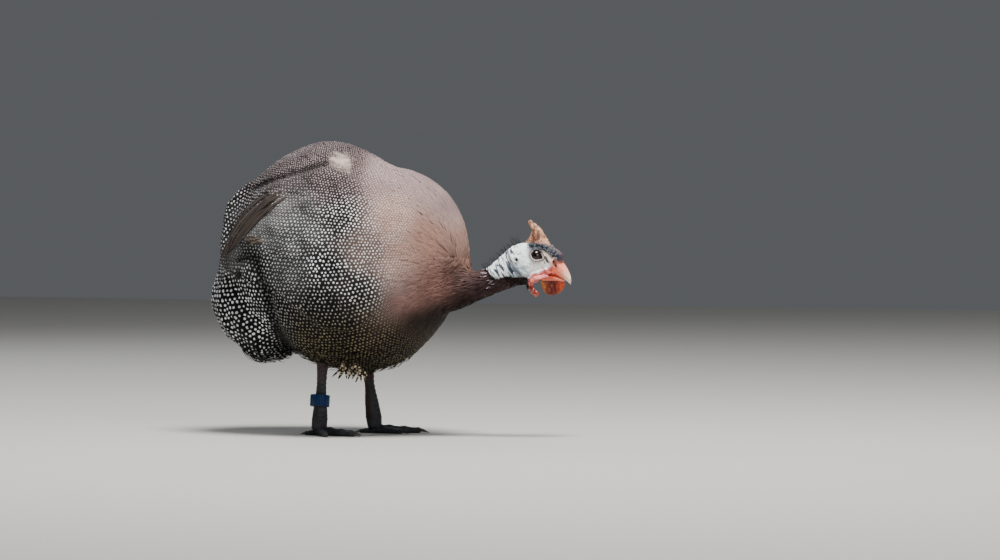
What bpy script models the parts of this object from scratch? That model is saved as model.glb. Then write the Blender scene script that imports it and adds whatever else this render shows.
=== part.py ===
"""Helmeted guinea fowl standing hunched with its head stretched low, life size, one solid for each part."""

import math
import random

import bmesh
import bpy
import numpy as np
from mathutils import Matrix, Vector

# Frame: x from tail to bill, y to the bird's left, z up. Tables are in millimetres, with x
# counted from the middle of the torso, which is moved back so that the origin is under the middle
MM = 0.001
TORSO_SHIFT_X = -54.0
# Gap between touching parts, the same as left by cuts, merge distance, and angles in degrees
GAP = 0.3
CUT_GAP = 0.36
MERGE = 0.004
FLAT_ANGLE = 2.0
SHARP_ANGLE = 35.0

# Torso: x, lowest and highest z, half width; the first and last rows are its round ends
TORSO_ROWS = (
    (-119, 180, 180, 0),
    (-112, 143, 222, 36),
    (-98, 116, 249, 53),
    (-76, 97, 270, 66),
    (-48, 82, 286, 77),
    (-20, 69, 294, 85),
    (8, 63, 291, 88.5),
    (33, 63, 280, 87),
    (50, 68, 270, 83),
    (72, 79, 266, 75),
    (95, 101, 256, 61),
    (115, 127, 240, 43),
    (130, 148, 214, 23),
    (137, 174, 174, 0),
)
TORSO_WIDEST = 0.42
TORSO_RINGS = 24
TORSO_SIDES = 28

# Neck and head: x, y, z, pitch and yaw in degrees, half height, half width
NECK_ROWS = (
    (112, 0, 147, 20, 0, 24, 30),
    (125, 0.5, 147.5, 24, 3, 20.5, 23),
    (136, 1.5, 148.5, 28, 6, 17, 17.5),
    (147, 3, 150.5, 31, 11, 14.5, 14),
    (159, 5.5, 154, 33, 11, 13, 12.5),
    (171, 8, 160.5, 33, 10, 14.8, 13),
    (180, 9.6, 166, 29, 8, 17, 14),
)
HEAD_ROWS = (
    (180, 9.6, 166, 29, 8, 17, 14),
    (188, 10.8, 170.5, 18, 7, 20, 14.8),
    (197.5, 11.9, 172.5, 8, 7, 21, 14.8),
    (207, 13.1, 173.5, 3, 7, 19.8, 13.6),
    (216.3, 14.2, 175, 0, 7, 16.3, 11),
    (224.7, 15.2, 175, -6, 7, 13, 8),
    (230.5, 15.9, 174.8, -12, 7, 9.2, 6.2),
    (233, 16.2, 174.2, -16, 7, 5.4, 3.8),
)
HEAD_FRONT = (234.2, 16.4, 173.8)
HEAD_SIDES = 16
NECK_RINGS = 11
HEAD_RINGS = 14

# Head frame: forward f, left l and up z are counted from this point on the head's middle line
HEAD_POINT = (198.6, 12.0, 0.0)
HEAD_YAW = 7.0

# Bill and casque: f, lowest and highest z, half width along f, or z with the ends in f going up
UPPER_BILL_ROWS = (
    (17, 162.4, 177, 7.0),
    (26, 161.5, 178.5, 7.2),
    (32, 159.5, 177.5, 6.5),
    (37, 157, 172.5, 5.2),
    (41, 154.2, 166.5, 3.7),
    (44, 151.8, 159.5, 1.7),
)
UPPER_BILL_TIP = (43.6, 150.8)
LOWER_BILL_ROWS = (
    (15, 155.5, 161.6, 6.2),
    (26, 155.6, 160.9, 6.0),
    (32, 155.4, 158.8, 5.0),
    (36, 155, 156.8, 3.2),
)
LOWER_BILL_TIP = (38, 155.4)
BILL_SIDES = 12
CASQUE_ROWS = (
    (185, -6.5, 25.5, 8.0),
    (191, -5.5, 23.2, 6.2),
    (197, -2.4, 19.8, 4.8),
    (203, 0.6, 16.2, 3.9),
    (208, 0.2, 12, 3.3),
    (212, -2.2, 7.6, 2.6),
    (214.6, -1.8, 4.6, 1.6),
)
CASQUE_TOP = (1.6, 215.6)
CASQUE_SIDES = 14

# Eyes, lids, ear cups and nostrils, placed by f, l and z
EYE_RADIUS = 6.4
EYE_CENTRE = (10.6, 7.4, 180.0)
EYE_TURN = 14.0
EYE_TILT = 14.0
LID_REACH = 4.5
LID_RADIUS = 5.9
LID_THICKNESS = 1.5
EAR_CENTRE = (-8.3, 14.2, 176.2)
EAR_RADIUS = 2.7
EAR_THICKNESS = 0.95
EAR_TURN = 3.0
EAR_PIT_SIZE = (1.9, 2.4, 1.9)
NOSTRIL_CENTRE = (30.0, 6.4, 173.0)
NOSTRIL_SIZE = (3.2, 2.4, 1.4)
NOSTRIL_TURN = 20.0
NOSTRIL_SLANT = 35.0
# Corner of the mouth, cut into the head behind the line between the two halves of the bill
MOUTH_CENTRE = (15.5, 8.6, 162.6)
MOUTH_SIZE = (7.5, 1.5, 0.6)
MOUTH_TURN = -25.0

# Wattles: middle line of each flap by f, l and z from its root to its tip, with half width
RIGHT_WATTLE_ROWS = (
    (22, -5.0, 161.5, 3.2),
    (13, -9.5, 160, 6.2),
    (6, -12, 156, 8.0),
    (5, -13, 150, 8.2),
    (9, -14, 144.5, 6.4),
    (13.5, -14.5, 141.5, 2.6),
)
RIGHT_WATTLE_ACROSS = (0.31, -0.95, 0.0)
LEFT_WATTLE_ROWS = (
    (21, 6.6, 160.8, 7.0),
    (21.5, 10.5, 155, 11.5),
    (22, 12.5, 149.5, 11.8),
    (21.5, 13.6, 144.5, 9.4),
    (20.5, 14, 141, 5.0),
)
LEFT_WATTLE_ACROSS = (0.86, 0.5, 0.0)
WATTLE_THICKNESS = 2.4
WATTLE_EDGE_LOSS = 0.6
WATTLE_CUP = 2.6
WATTLE_STATIONS = 9
WATTLE_COLUMNS = 7

# Folded wing: x, lowest and highest z and half width of the form that its outer face lies on
WING_ROWS = (
    (-114, 108, 236, 54),
    (-90, 90, 258, 68),
    (-60, 70, 284, 81.5),
    (-22, 58, 298, 91),
    (20, 55, 296, 94),
    (55, 60, 276, 89),
    (90, 80, 258, 69.5),
)
# x, lower and upper edge in degrees round that form, thickness of the wing
WING_EDGE_ROWS = (
    (-111, 3, 8, 3.0),
    (-104, 2, 16, 4.5),
    (-92, 2, 31, 7.0),
    (-70, 4, 44, 9.0),
    (-46, 2, 47, 10.0),
    (-20, -10, 49, 10.0),
    (20, -27, 54, 10.0),
    (50, -29, 52, 9.0),
    (73, -20, 40, 7.0),
    (86, -4, 20, 4.0),
)
WING_STATIONS = 14
WING_ACROSS = 8
WING_INSET = 1.8
# Tiers of wing feathers: count, root and tip of the lowest, root and tip of the highest, each
# as x and degrees round the form, then half width
WING_TIERS = (
    (5, (-42, 0), (-86, -3), (-58, 18), (-112, 6), 7.5),
    (7, (-14, -8), (-54, -5), (-42, 38), (-103, 17), 9.5),
    (7, (28, -23), (-20, -12), (-2, 44), (-54, 42), 12.0),
    (6, (54, -22), (12, -27), (38, 42), (-8, 48), 12.5),
    (5, (76, -10), (40, -28), (66, 30), (24, 52), 12.5),
)

# Tail with its coverts: share of its length, x, z, half depth and half width, from rump to tip
TAIL_ROWS = (
    (0.0, -78, 252, 12, 30),
    (0.15, -96, 232, 20, 41),
    (0.32, -104, 199, 23, 45),
    (0.48, -103, 169, 27, 45),
    (0.64, -97, 138, 43, 55),
    (0.80, -83, 111, 39, 51),
    (0.93, -71, 86, 26, 36),
    (1.0, -64, 74, 14, 24),
)
TAIL_CORE_END = 0.93
TAIL_TIP = (-66, 73)
TAIL_RINGS = 13
TAIL_SIDES = 20
TAIL_INSET = 1.8
# Tiers of tail feathers: count, share of the tail's length at the root and the tip, outermost
# degrees from the middle of the back, half width
TAIL_TIERS = (
    (3, 0.0, 0.27, 40, 14.0),
    (4, 0.16, 0.46, 52, 14.0),
    (5, 0.36, 0.66, 62, 15.0),
    (6, 0.54, 0.84, 72, 15.0),
    (5, 0.72, 0.97, 66, 14.0),
)

# Each vane: share of its length and of its half width, then its rise out of the plumage under it
VANE_OUTLINE = ((0.0, 0.5), (0.35, 0.9), (0.68, 1.0), (0.9, 0.66), (1.0, 0.18))
VANE_THICKNESS = 0.9
VANE_SINK = -1.4
VANE_LIFT = 2.6
VANE_TILT = 7.0
VANE_JITTER = 0.03
SEED = 11

# Legs: forward distance and z of the axis from hock to foot, half thickness fore and aft and across
TARSUS_ROWS = (
    (0, 84, 8.0, 7.0),
    (0, 72, 8.6, 7.4),
    (0.5, 63, 6.2, 5.4),
    (1.2, 54, 4.7, 4.3),
    (2.2, 44, 4.9, 4.5),
    (3.2, 32, 6.4, 5.6),
    (4.2, 22, 7.2, 6.8),
    (5.0, 13, 7.8, 8.0),
    (5.5, 6, 7.0, 8.4),
)
TARSUS_SIDES = 10
HOCK_LEVELS = (84.0, 78.0, 72.0, 67.0, 63.0)
HOCK_FOOT_Z = 50.0
HOCK_RISE = {"left": 0.0, "right": 0.4}
SCUTES_FROM_Z = 60.0
SCUTES_PER_LEG = 11
SCUTE_HEIGHT = 0.45
SCUTE_OVERHANG = 0.85
SCUTE_BACK_SHARE = 0.4
RIGHT_LEG = (-6.0, -30.0)
LEFT_LEG = (11.3, 30.0)
RIGHT_LEAN = -10.5
LEFT_LEAN = 3.0
RIGHT_FOOT_YAW = -15.0
LEFT_FOOT_YAW = 25.0

# Toes: yaw from the middle toe on the left foot, length, height and half width at the root
TOES = (
    ("inner", -36.0, 33.0, 8.4, 4.6),
    ("middle", 0.0, 45.0, 9.4, 5.0),
    ("outer", 38.0, 36.0, 8.4, 4.6),
    ("hind", 166.0, 15.0, 6.4, 3.4),
)
TOE_PADS = 3
TOE_SWELL = 0.1
TOE_SIDES = 8
# Shares of a toe's height and half width that are lost at its end, and height of its widest line
TOE_HEIGHT_LOSS = 0.42
TOE_WIDTH_LOSS = 0.38
TOE_WIDEST = 0.42
CLAW_LENGTH = 11.0
HIND_CLAW_LENGTH = 7.0
# Claw by the toe's size at its root: share of it, height of its middle, half height, fall, tip
CLAW_SHARE = 0.6
CLAW_MIDDLE = 0.58
CLAW_HALF_HEIGHT = 0.36
CLAW_FALL = 0.9
CLAW_RINGS = 4
CLAW_TIP_Z = 0.5
CLAW_LOWEST_Z = 0.3

# Plastic band round the right leg
BAND_INNER_RADIUS = 7.9
BAND_THICKNESS = 1.9
BAND_HEIGHT = 11.5
BAND_Z = 34.5
BAND_TILT = 8.0
BAND_OFFSET = (-0.85, 0.3)
BAND_SEGMENTS = 20


# Colours from the photo, as sRGB values, with roughness
LOOKS = {
    "plumage": ("#3A373A", 0.85),
    "skin": ("#9FB3C4", 0.6),
    "horn": ("#A8794A", 0.45),
    "bill": ("#C4906A", 0.4),
    "wattle": ("#B5242A", 0.5),
    "eye": ("#20150F", 0.1),
    "leg": ("#5A4A44", 0.6),
    "claw": ("#3B322C", 0.45),
    "band": ("#1F4FD0", 0.4),
}


def linear(channel):
    """Linear value of one sRGB channel between 0 and 1."""
    return channel / 12.92 if channel <= 0.04045 else ((channel + 0.055) / 1.055) ** 2.4


def finish(look):
    """Own material for one object, in the named colour."""
    colour, roughness = LOOKS[look]
    material = bpy.data.materials.new(look)
    material.use_nodes = True
    shader = material.node_tree.nodes["Principled BSDF"]
    channels = [int(colour[i : i + 2], 16) / 255 for i in (1, 3, 5)]
    shader.inputs["Base Color"].default_value = (*map(linear, channels), 1)
    shader.inputs["Roughness"].default_value = roughness
    return material


def place(x, y, z):
    """Point in metres from millimetres on the torso's own x."""
    return Vector(((x + TORSO_SHIFT_X) * MM, y * MM, z * MM))


def read_rows(rows, key):
    """Values of a table at one key, on a smooth curve through its rows."""
    table = np.array(rows, float)
    keys, values = table[:, 0], table[:, 1:]
    slopes = np.gradient(values, keys, axis=0)
    i = int(np.clip(np.searchsorted(keys, key) - 1, 0, len(keys) - 2))
    span = keys[i + 1] - keys[i]
    t = float(np.clip((key - keys[i]) / span, 0, 1))
    return (
        (2 * t**3 - 3 * t**2 + 1) * values[i]
        + (t**3 - 2 * t**2 + t) * span * slopes[i]
        + (3 * t**2 - 2 * t**3) * values[i + 1]
        + (t**3 - t**2) * span * slopes[i + 1]
    )


def new_object(name, points, faces, look):
    """Mesh object of these points in metres, its faces turned outwards."""
    mesh = bpy.data.meshes.new(name)
    mesh.from_pydata([tuple(p) for p in points], [], faces)
    work = bmesh.new()
    work.from_mesh(mesh)
    bmesh.ops.recalc_face_normals(work, faces=work.faces)
    work.to_mesh(mesh)
    work.free()
    mesh.shade_smooth()
    mesh.set_sharp_from_angle(angle=math.radians(SHARP_ANGLE))
    piece = bpy.data.objects.new(name, mesh)
    bpy.context.scene.collection.objects.link(piece)
    piece.data.materials.append(finish(look))
    return piece


def loft(name, rings, look, start=None, end=None):
    """Closed skin over rings of points, with a point or a flat face at each end."""
    sides = len(rings[0])
    points = [p for ring in rings for p in ring]
    faces = []
    for k in range(len(rings) - 1):
        for i in range(sides):
            a, b = k * sides + i, k * sides + (i + 1) % sides
            faces.append((a, b, b + sides, a + sides))
    for pole, first in ((start, 0), (end, (len(rings) - 1) * sides)):
        ring = [first + i for i in range(sides)]
        if pole is None:
            faces.append(tuple(ring))
            continue
        points.append(pole)
        for i in range(sides):
            faces.append((ring[i], ring[(i + 1) % sides], len(points) - 1))
    return new_object(name, points, faces, look)


def shell(name, front, back, look):
    """Closed thin solid between two grids of points, both cut into triangles the same way."""
    rows, columns = len(front), len(front[0])
    points = [p for row in front for p in row] + [p for row in back for p in row]
    other = rows * columns
    faces = []
    for i in range(rows - 1):
        for j in range(columns - 1):
            a = i * columns + j
            b, c, d = a + 1, a + columns + 1, a + columns
            faces += [(a, b, c), (a, c, d)]
            faces += [(other + a, other + c, other + b), (other + a, other + d, other + c)]
    rim = [j for j in range(columns)]
    rim += [i * columns + columns - 1 for i in range(1, rows)]
    rim += [(rows - 1) * columns + j for j in range(columns - 2, -1, -1)]
    rim += [i * columns for i in range(rows - 2, 0, -1)]
    for a, b in zip(rim, rim[1:] + rim[:1]):
        faces += [(a, other + a, other + b), (a, other + b, b)]
    return new_object(name, points, faces, look)


def largest_body(piece):
    """Joins loose points and flat neighbours, then keeps only the largest closed surface."""
    work = bmesh.new()
    work.from_mesh(piece.data)
    bmesh.ops.remove_doubles(work, verts=work.verts, dist=MERGE * MM)
    bmesh.ops.dissolve_degenerate(work, edges=work.edges, dist=MERGE * MM)
    flat = math.radians(FLAT_ANGLE)
    bmesh.ops.dissolve_limit(work, angle_limit=flat, verts=work.verts, edges=work.edges)
    bmesh.ops.triangulate(work, faces=work.faces)
    left = set(work.faces)
    bodies = []
    while left:
        queue = [left.pop()]
        body = list(queue)
        while queue:
            face = queue.pop()
            for edge in face.edges:
                for near in edge.link_faces:
                    if near in left:
                        left.remove(near)
                        queue.append(near)
                        body.append(near)
        bodies.append(body)
    bodies.sort(key=lambda body: sum(face.calc_area() for face in body))
    loose = [face for body in bodies[:-1] for face in body]
    bmesh.ops.delete(work, geom=loose, context="FACES")
    lone = [vert for vert in work.verts if not vert.link_faces]
    bmesh.ops.delete(work, geom=lone, context="VERTS")
    bmesh.ops.recalc_face_normals(work, faces=work.faces)
    work.to_mesh(piece.data)
    work.free()
    piece.data.shade_smooth()
    piece.data.set_sharp_from_angle(angle=math.radians(SHARP_ANGLE))


def combine(piece, others, operation):
    """Applies one Boolean with a collection of closed objects, which are then removed."""
    group = bpy.data.collections.new("with_" + piece.name)
    for other in others:
        group.objects.link(other)
    step = piece.modifiers.new(operation.lower(), "BOOLEAN")
    step.operation = operation
    step.solver = "EXACT"
    step.operand_type = "COLLECTION"
    step.collection = group
    graph = bpy.context.evaluated_depsgraph_get()
    made = bpy.data.meshes.new_from_object(piece.evaluated_get(graph))
    piece.modifiers.clear()
    look = piece.data.materials[0]
    piece.data = made
    piece.data.materials.clear()
    piece.data.materials.append(look)
    for other in others:
        bpy.data.objects.remove(other)
    bpy.data.collections.remove(group)
    largest_body(piece)


def grown(piece, by):
    """Copy of an object with its points moved outwards, used as a cutter."""
    copy = piece.copy()
    copy.data = piece.data.copy()
    work = bmesh.new()
    work.from_mesh(copy.data)
    work.normal_update()
    moved = [vert.co + vert.normal * by * MM for vert in work.verts]
    for vert, point in zip(work.verts, moved):
        vert.co = point
    work.to_mesh(copy.data)
    work.free()
    bpy.context.scene.collection.objects.link(copy)
    return copy


def cut(piece, neighbours):
    """Cuts an object back from its neighbours by the gap that touching parts keep."""
    combine(piece, [grown(other, CUT_GAP) for other in neighbours], "DIFFERENCE")


# Torso
def torso_key(x):
    """Angle from the tail end to the breast end, on which the torso's rows are read."""
    first, last = TORSO_ROWS[0][0], TORSO_ROWS[-1][0]
    share = (x - first) / (last - first)
    return math.acos(1 - 2 * share)


def section_point(x, low, high, half_width, angle):
    """Point of an egg-shaped upright section, with angle 0 on the left side and 90 on top."""
    middle = low + TORSO_WIDEST * (high - low)
    reach = high - middle if math.sin(angle) > 0 else middle - low
    return place(x, half_width * math.cos(angle), middle + reach * math.sin(angle))


def make_torso():
    """Closed egg-shaped body of breast, back, rump and belly."""
    keyed = [(torso_key(row[0]), *row[1:]) for row in TORSO_ROWS]
    first, last = TORSO_ROWS[0], TORSO_ROWS[-1]
    rings = []
    for k in range(1, TORSO_RINGS):
        key = math.pi * k / TORSO_RINGS
        x = first[0] + (last[0] - first[0]) * (1 - math.cos(key)) / 2
        low, high, half = read_rows(keyed, key)
        turns = [2 * math.pi * i / TORSO_SIDES for i in range(TORSO_SIDES)]
        rings.append([section_point(x, low, high, half, turn) for turn in turns])
    ends = place(first[0], 0, first[1]), place(last[0], 0, last[1])
    return loft("torso", rings, "plumage", *ends)


# Neck and head
def tube_rings(rows, count, sides):
    """Oval rings square to a path that is given with its pitch and yaw."""
    keyed = [(i, *row) for i, row in enumerate(rows)]
    rings = []
    for k in range(count):
        key = (len(rows) - 1) * k / (count - 1)
        x, y, z, pitch, yaw, half_height, half_width = read_rows(keyed, key)
        turn = Matrix.Rotation(math.radians(yaw), 3, "Z")
        turn = turn @ Matrix.Rotation(-math.radians(pitch), 3, "Y")
        ring = []
        for i in range(sides):
            angle = 2 * math.pi * i / sides
            side = half_width * math.cos(angle)
            up = half_height * math.sin(angle)
            ring.append(place(x, y, z) + turn @ Vector((0, side, up)) * MM)
        rings.append(ring)
    return rings


def head_place(f, l, z):
    """Point given by the head's own forward and left distances."""
    turn = math.radians(HEAD_YAW)
    x = HEAD_POINT[0] + f * math.cos(turn) - l * math.sin(turn)
    y = HEAD_POINT[1] + f * math.sin(turn) + l * math.cos(turn)
    return place(x, y, z)


def head_matrix(f, l, z, yaw=0.0, pitch=0.0, roll=0.0):
    """Frame at a point of the head, turned from the head's own by yaw, then pitch, then roll."""
    turn = Matrix.Rotation(math.radians(HEAD_YAW + yaw), 4, "Z")
    turn = turn @ Matrix.Rotation(-math.radians(pitch), 4, "Y")
    turn = turn @ Matrix.Rotation(math.radians(roll), 4, "X")
    return Matrix.Translation(head_place(f, l, z)) @ turn


def make_neck(torso):
    """Bare neck and its feathered root, cut back from the torso."""
    rings = tube_rings(NECK_ROWS, NECK_RINGS, HEAD_SIDES)
    back = (rings[-2][0] - rings[-1][0]).normalized() * GAP * MM
    rings[-1] = [point + back for point in rings[-1]]
    neck = loft("neck", rings, "skin")
    cut(neck, [torso])
    return neck


def ball(name, size, look, segments=12, rings=8):
    """Ellipsoid about the origin, with its half sizes in millimetres."""
    mesh = bpy.data.meshes.new(name)
    work = bmesh.new()
    bmesh.ops.create_uvsphere(work, u_segments=segments, v_segments=rings, radius=1)
    bmesh.ops.scale(work, vec=Vector(size) * MM, verts=work.verts)
    work.to_mesh(mesh)
    work.free()
    mesh.shade_smooth()
    piece = bpy.data.objects.new(name, mesh)
    bpy.context.scene.collection.objects.link(piece)
    piece.data.materials.append(finish(look))
    return piece


def ring_about_y(name, radius, thickness, look, segments=14, sides=6):
    """Round ring about the y axis, as an object at the origin."""
    points, faces = [], []
    for k in range(segments):
        turn = 2 * math.pi * k / segments
        for i in range(sides):
            angle = 2 * math.pi * i / sides
            out = radius + thickness * math.cos(angle)
            points.append(
                Vector((out * math.cos(turn), thickness * math.sin(angle), out * math.sin(turn))) * MM
            )
    for k in range(segments):
        for i in range(sides):
            a, b = k * sides + i, k * sides + (i + 1) % sides
            c = ((k + 1) % segments) * sides
            faces.append((a, b, c + (i + 1) % sides, c + i))
    return new_object(name, points, faces, look)


def moved(piece, matrix):
    """Bakes a matrix into an object's mesh, so that the object stays at the origin."""
    piece.data.transform(matrix)
    return piece


def make_eyes():
    """Left and right eyeballs."""
    eyes = []
    for side, name in ((1, "eye_left"), (-1, "eye_right")):
        f, l, z = EYE_CENTRE
        eye = ball(name, (EYE_RADIUS,) * 3, "eye")
        eyes.append(moved(eye, head_matrix(f, side * l, z)))
    return eyes


def make_head(eyes):
    """Bare head with its lids, ear cups, nostrils and corners of the mouth, hollowed for the eyes."""
    rings = tube_rings(HEAD_ROWS, HEAD_RINGS, HEAD_SIDES)
    head = loft("head", rings, "skin", end=place(*HEAD_FRONT))
    added, pits = [], []
    for side in (1, -1):
        f, l, z = EYE_CENTRE
        lid = ring_about_y("lid", LID_RADIUS, LID_THICKNESS, "skin")
        at = head_matrix(f, side * l, z, -side * EYE_TURN, 0, side * EYE_TILT)
        at = at @ Matrix.Translation((0, side * LID_REACH * MM, 0))
        added.append(moved(lid, at))
        f, l, z = EAR_CENTRE
        ear = ring_about_y("ear", EAR_RADIUS, EAR_THICKNESS, "skin", 12)
        added.append(moved(ear, head_matrix(f, side * l, z, side * EAR_TURN)))
        for (f, l, z), size, yaw, slant in (
            (EAR_CENTRE, EAR_PIT_SIZE, 0.0, 0.0),
            (NOSTRIL_CENTRE, NOSTRIL_SIZE, NOSTRIL_TURN, NOSTRIL_SLANT),
            (MOUTH_CENTRE, MOUTH_SIZE, MOUTH_TURN, 0.0),
        ):
            pit = ball("pit", size, "skin", 8, 6)
            pits.append(moved(pit, head_matrix(f, side * l, z, side * yaw, slant)))
    combine(head, added, "UNION")
    combine(head, pits + [grown(eye, CUT_GAP) for eye in eyes], "DIFFERENCE")
    return head


def bill_half(name, rows, tip):
    """One half of the bill, lofted forward in the head's frame."""
    rings = []
    keyed = [(i, *row) for i, row in enumerate(rows)]
    steps = 2 * len(rows) - 1
    for k in range(steps):
        f, low, high, half = read_rows(keyed, (len(rows) - 1) * k / (steps - 1))
        ring = []
        for i in range(BILL_SIDES):
            angle = 2 * math.pi * (i + 0.5) / BILL_SIDES
            z = (low + high) / 2 + (high - low) / 2 * math.sin(angle)
            ring.append(head_place(f, half * math.cos(angle), z))
        rings.append(ring)
    return loft(name, rings, "bill", end=head_place(tip[0], 0, tip[1]))


def make_casque():
    """Bony helmet on the crown, leaning back at its top."""
    rings = []
    keyed = [(i, *row) for i, row in enumerate(CASQUE_ROWS)]
    steps = 2 * len(CASQUE_ROWS) - 3
    for k in range(steps):
        z, rear, front, half = read_rows(keyed, (len(keyed) - 1) * k / (steps - 1))
        ring = []
        for i in range(CASQUE_SIDES):
            angle = 2 * math.pi * i / CASQUE_SIDES
            f = (rear + front) / 2 + (front - rear) / 2 * math.cos(angle)
            ring.append(head_place(f, half * math.sin(angle), z))
        rings.append(ring)
    return loft("casque", rings, "horn", end=head_place(CASQUE_TOP[0], 0, CASQUE_TOP[1]))


def make_wattle(name, rows, across):
    """Cupped flap of bare skin that hangs from the corner of the mouth."""
    steps = WATTLE_STATIONS
    keyed = [(i, *row) for i, row in enumerate(rows)]
    turn = Matrix.Rotation(math.radians(HEAD_YAW), 3, "Z")
    side = turn @ Vector(across).normalized()
    centres = []
    for k in range(steps):
        f, l, z, half = read_rows(keyed, (len(rows) - 1) * k / (steps - 1))
        centres.append((head_place(f, l, z), half))
    front, back = [], []
    for k, (centre, half) in enumerate(centres):
        before, after = centres[max(k - 1, 0)][0], centres[min(k + 1, steps - 1)][0]
        normal = (after - before).normalized().cross(side).normalized()
        row_front, row_back = [], []
        for j in range(WATTLE_COLUMNS):
            t = 2 * j / (WATTLE_COLUMNS - 1) - 1
            middle = centre + (side * t * half - normal * WATTLE_CUP * t * t) * MM
            thick = WATTLE_THICKNESS * (1 - WATTLE_EDGE_LOSS * abs(t)) / 2 * MM
            row_front.append(middle + normal * thick)
            row_back.append(middle - normal * thick)
        front.append(row_front)
        back.append(row_back)
    return shell(name, front, back, "wattle")


# Vanes
def make_vane(surface, root, tip, half_width, tilt):
    """Thin feather along a curved form, sunk in it at the root and standing off at the tip."""
    root, tip = Vector(root), Vector(tip)
    points, faces = [], []
    for share, width in VANE_OUTLINE:
        at = root + (tip - root) * share
        point, normal = surface(*at)
        ahead, _ = surface(*(at + (tip - root) * 0.01))
        along = (ahead - point).normalized()
        side = Matrix.Rotation(math.radians(tilt), 3, along) @ normal.cross(along).normalized()
        up = along.cross(side)
        middle = point + normal * (VANE_SINK + (VANE_LIFT - VANE_SINK) * share) * MM
        out = side * half_width * width * MM
        thick = up * VANE_THICKNESS / 2 * MM
        points += [middle - out - thick, middle + out - thick, middle + out + thick, middle - out + thick]
    for k in range(len(VANE_OUTLINE) - 1):
        a, b = 4 * k, 4 * k + 4
        faces += [(a, a + 1, b + 1), (a, b + 1, b), (a + 3, b + 2, a + 2), (a + 3, b + 3, b + 2)]
        faces += [(a, b + 3, a + 3), (a, b, b + 3), (a + 1, a + 2, b + 2), (a + 1, b + 2, b + 1)]
    faces += [(0, 3, 2), (0, 2, 1), (b, b + 1, b + 2), (b, b + 2, b + 3)]
    return new_object("vane", points, faces, "plumage")


# Wings
def wing_point(x, degrees, side):
    """Point on the form that a folded wing's outer face lies on."""
    low, high, half = read_rows(WING_ROWS, x)
    point = section_point(x, low, high, half, math.radians(degrees))
    point.y *= side
    return point


def wing_normal(x, degrees, side):
    """Outward direction of that form."""
    along = wing_point(x + 1, degrees, side) - wing_point(x - 1, degrees, side)
    up = wing_point(x, degrees + 1, side) - wing_point(x, degrees - 1, side)
    return up.cross(along).normalized() * side


def make_wing(side, torso):
    """Folded wing: a thick plate on the flank with its tiers of feathers, cut back from the torso."""

    def surface(x, degrees):
        normal = wing_normal(x, degrees, side)
        return wing_point(x, degrees, side) - normal * WING_INSET * MM, normal

    front, back = [], []
    first, last = WING_EDGE_ROWS[0][0], WING_EDGE_ROWS[-1][0]
    for k in range(WING_STATIONS):
        x = first + (last - first) * k / (WING_STATIONS - 1)
        low, high, thick = read_rows(WING_EDGE_ROWS, x)
        row_front, row_back = [], []
        for j in range(WING_ACROSS):
            point, normal = surface(x, low + (high - low) * j / (WING_ACROSS - 1))
            row_front.append(point)
            row_back.append(point - normal * thick * MM)
        front.append(row_front)
        back.append(row_back)
    wing = shell("wing_left" if side > 0 else "wing_right", front, back, "plumage")
    chance = random.Random(SEED)
    vanes = []
    for count, low_root, low_tip, high_root, high_tip, half in WING_TIERS:
        for k in range(count):
            share = k / (count - 1)
            root = Vector(low_root).lerp(Vector(high_root), share)
            tip = Vector(low_tip).lerp(Vector(high_tip), share)
            tip += (tip - root) * chance.uniform(-VANE_JITTER, VANE_JITTER)
            vanes.append(make_vane(surface, root, tip, half, -VANE_TILT * side))
    combine(wing, vanes, "UNION")
    cut(wing, [torso])
    return wing


# Tail
def tail_frame(share):
    """Centre, outward direction and half sizes of the tail at a share of its length."""
    x, z, depth, half = read_rows(TAIL_ROWS, share)
    ahead = read_rows(TAIL_ROWS, min(share + 0.01, TAIL_ROWS[-1][0]))
    behind = read_rows(TAIL_ROWS, max(share - 0.01, 0))
    along = Vector((ahead[0] - behind[0], 0, ahead[1] - behind[1])).normalized()
    outward = Vector((along.z, 0, -along.x))
    return place(x, 0, z), outward, depth, half


def tail_surface(share, degrees):
    """Point and outward direction on the tail, with angle 0 at the back and 90 on the left side."""
    centre, outward, depth, half = tail_frame(share)
    angle = math.radians(degrees)
    left = Vector((0, 1, 0))
    depth, half = depth - TAIL_INSET, half - TAIL_INSET
    point = centre + (outward * depth * math.cos(angle) + left * half * math.sin(angle)) * MM
    normal = (outward * half * math.cos(angle) + left * depth * math.sin(angle)).normalized()
    return point, normal


def make_tail(torso):
    """Drooping tail with its tiers of feathers, cut back from the torso."""
    rings = []
    for k in range(TAIL_RINGS):
        share = TAIL_CORE_END * k / (TAIL_RINGS - 1)
        turns = [360 * i / TAIL_SIDES for i in range(TAIL_SIDES)]
        rings.append([tail_surface(share, turn)[0] for turn in turns])
    tail = loft("tail", rings, "plumage", end=place(TAIL_TIP[0], 0, TAIL_TIP[1]))
    chance = random.Random(SEED)
    vanes = []
    for count, root, tip, widest, half in TAIL_TIERS:
        for k in range(count):
            degrees = widest * (2 * k / (count - 1) - 1)
            end = tip + chance.uniform(-VANE_JITTER, VANE_JITTER) * (tip - root)
            tilt = -VANE_TILT * np.sign(degrees)
            vanes.append(make_vane(tail_surface, (root, degrees), (end, degrees), half, tilt))
    combine(tail, vanes, "UNION")
    cut(tail, [torso])
    return tail


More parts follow.
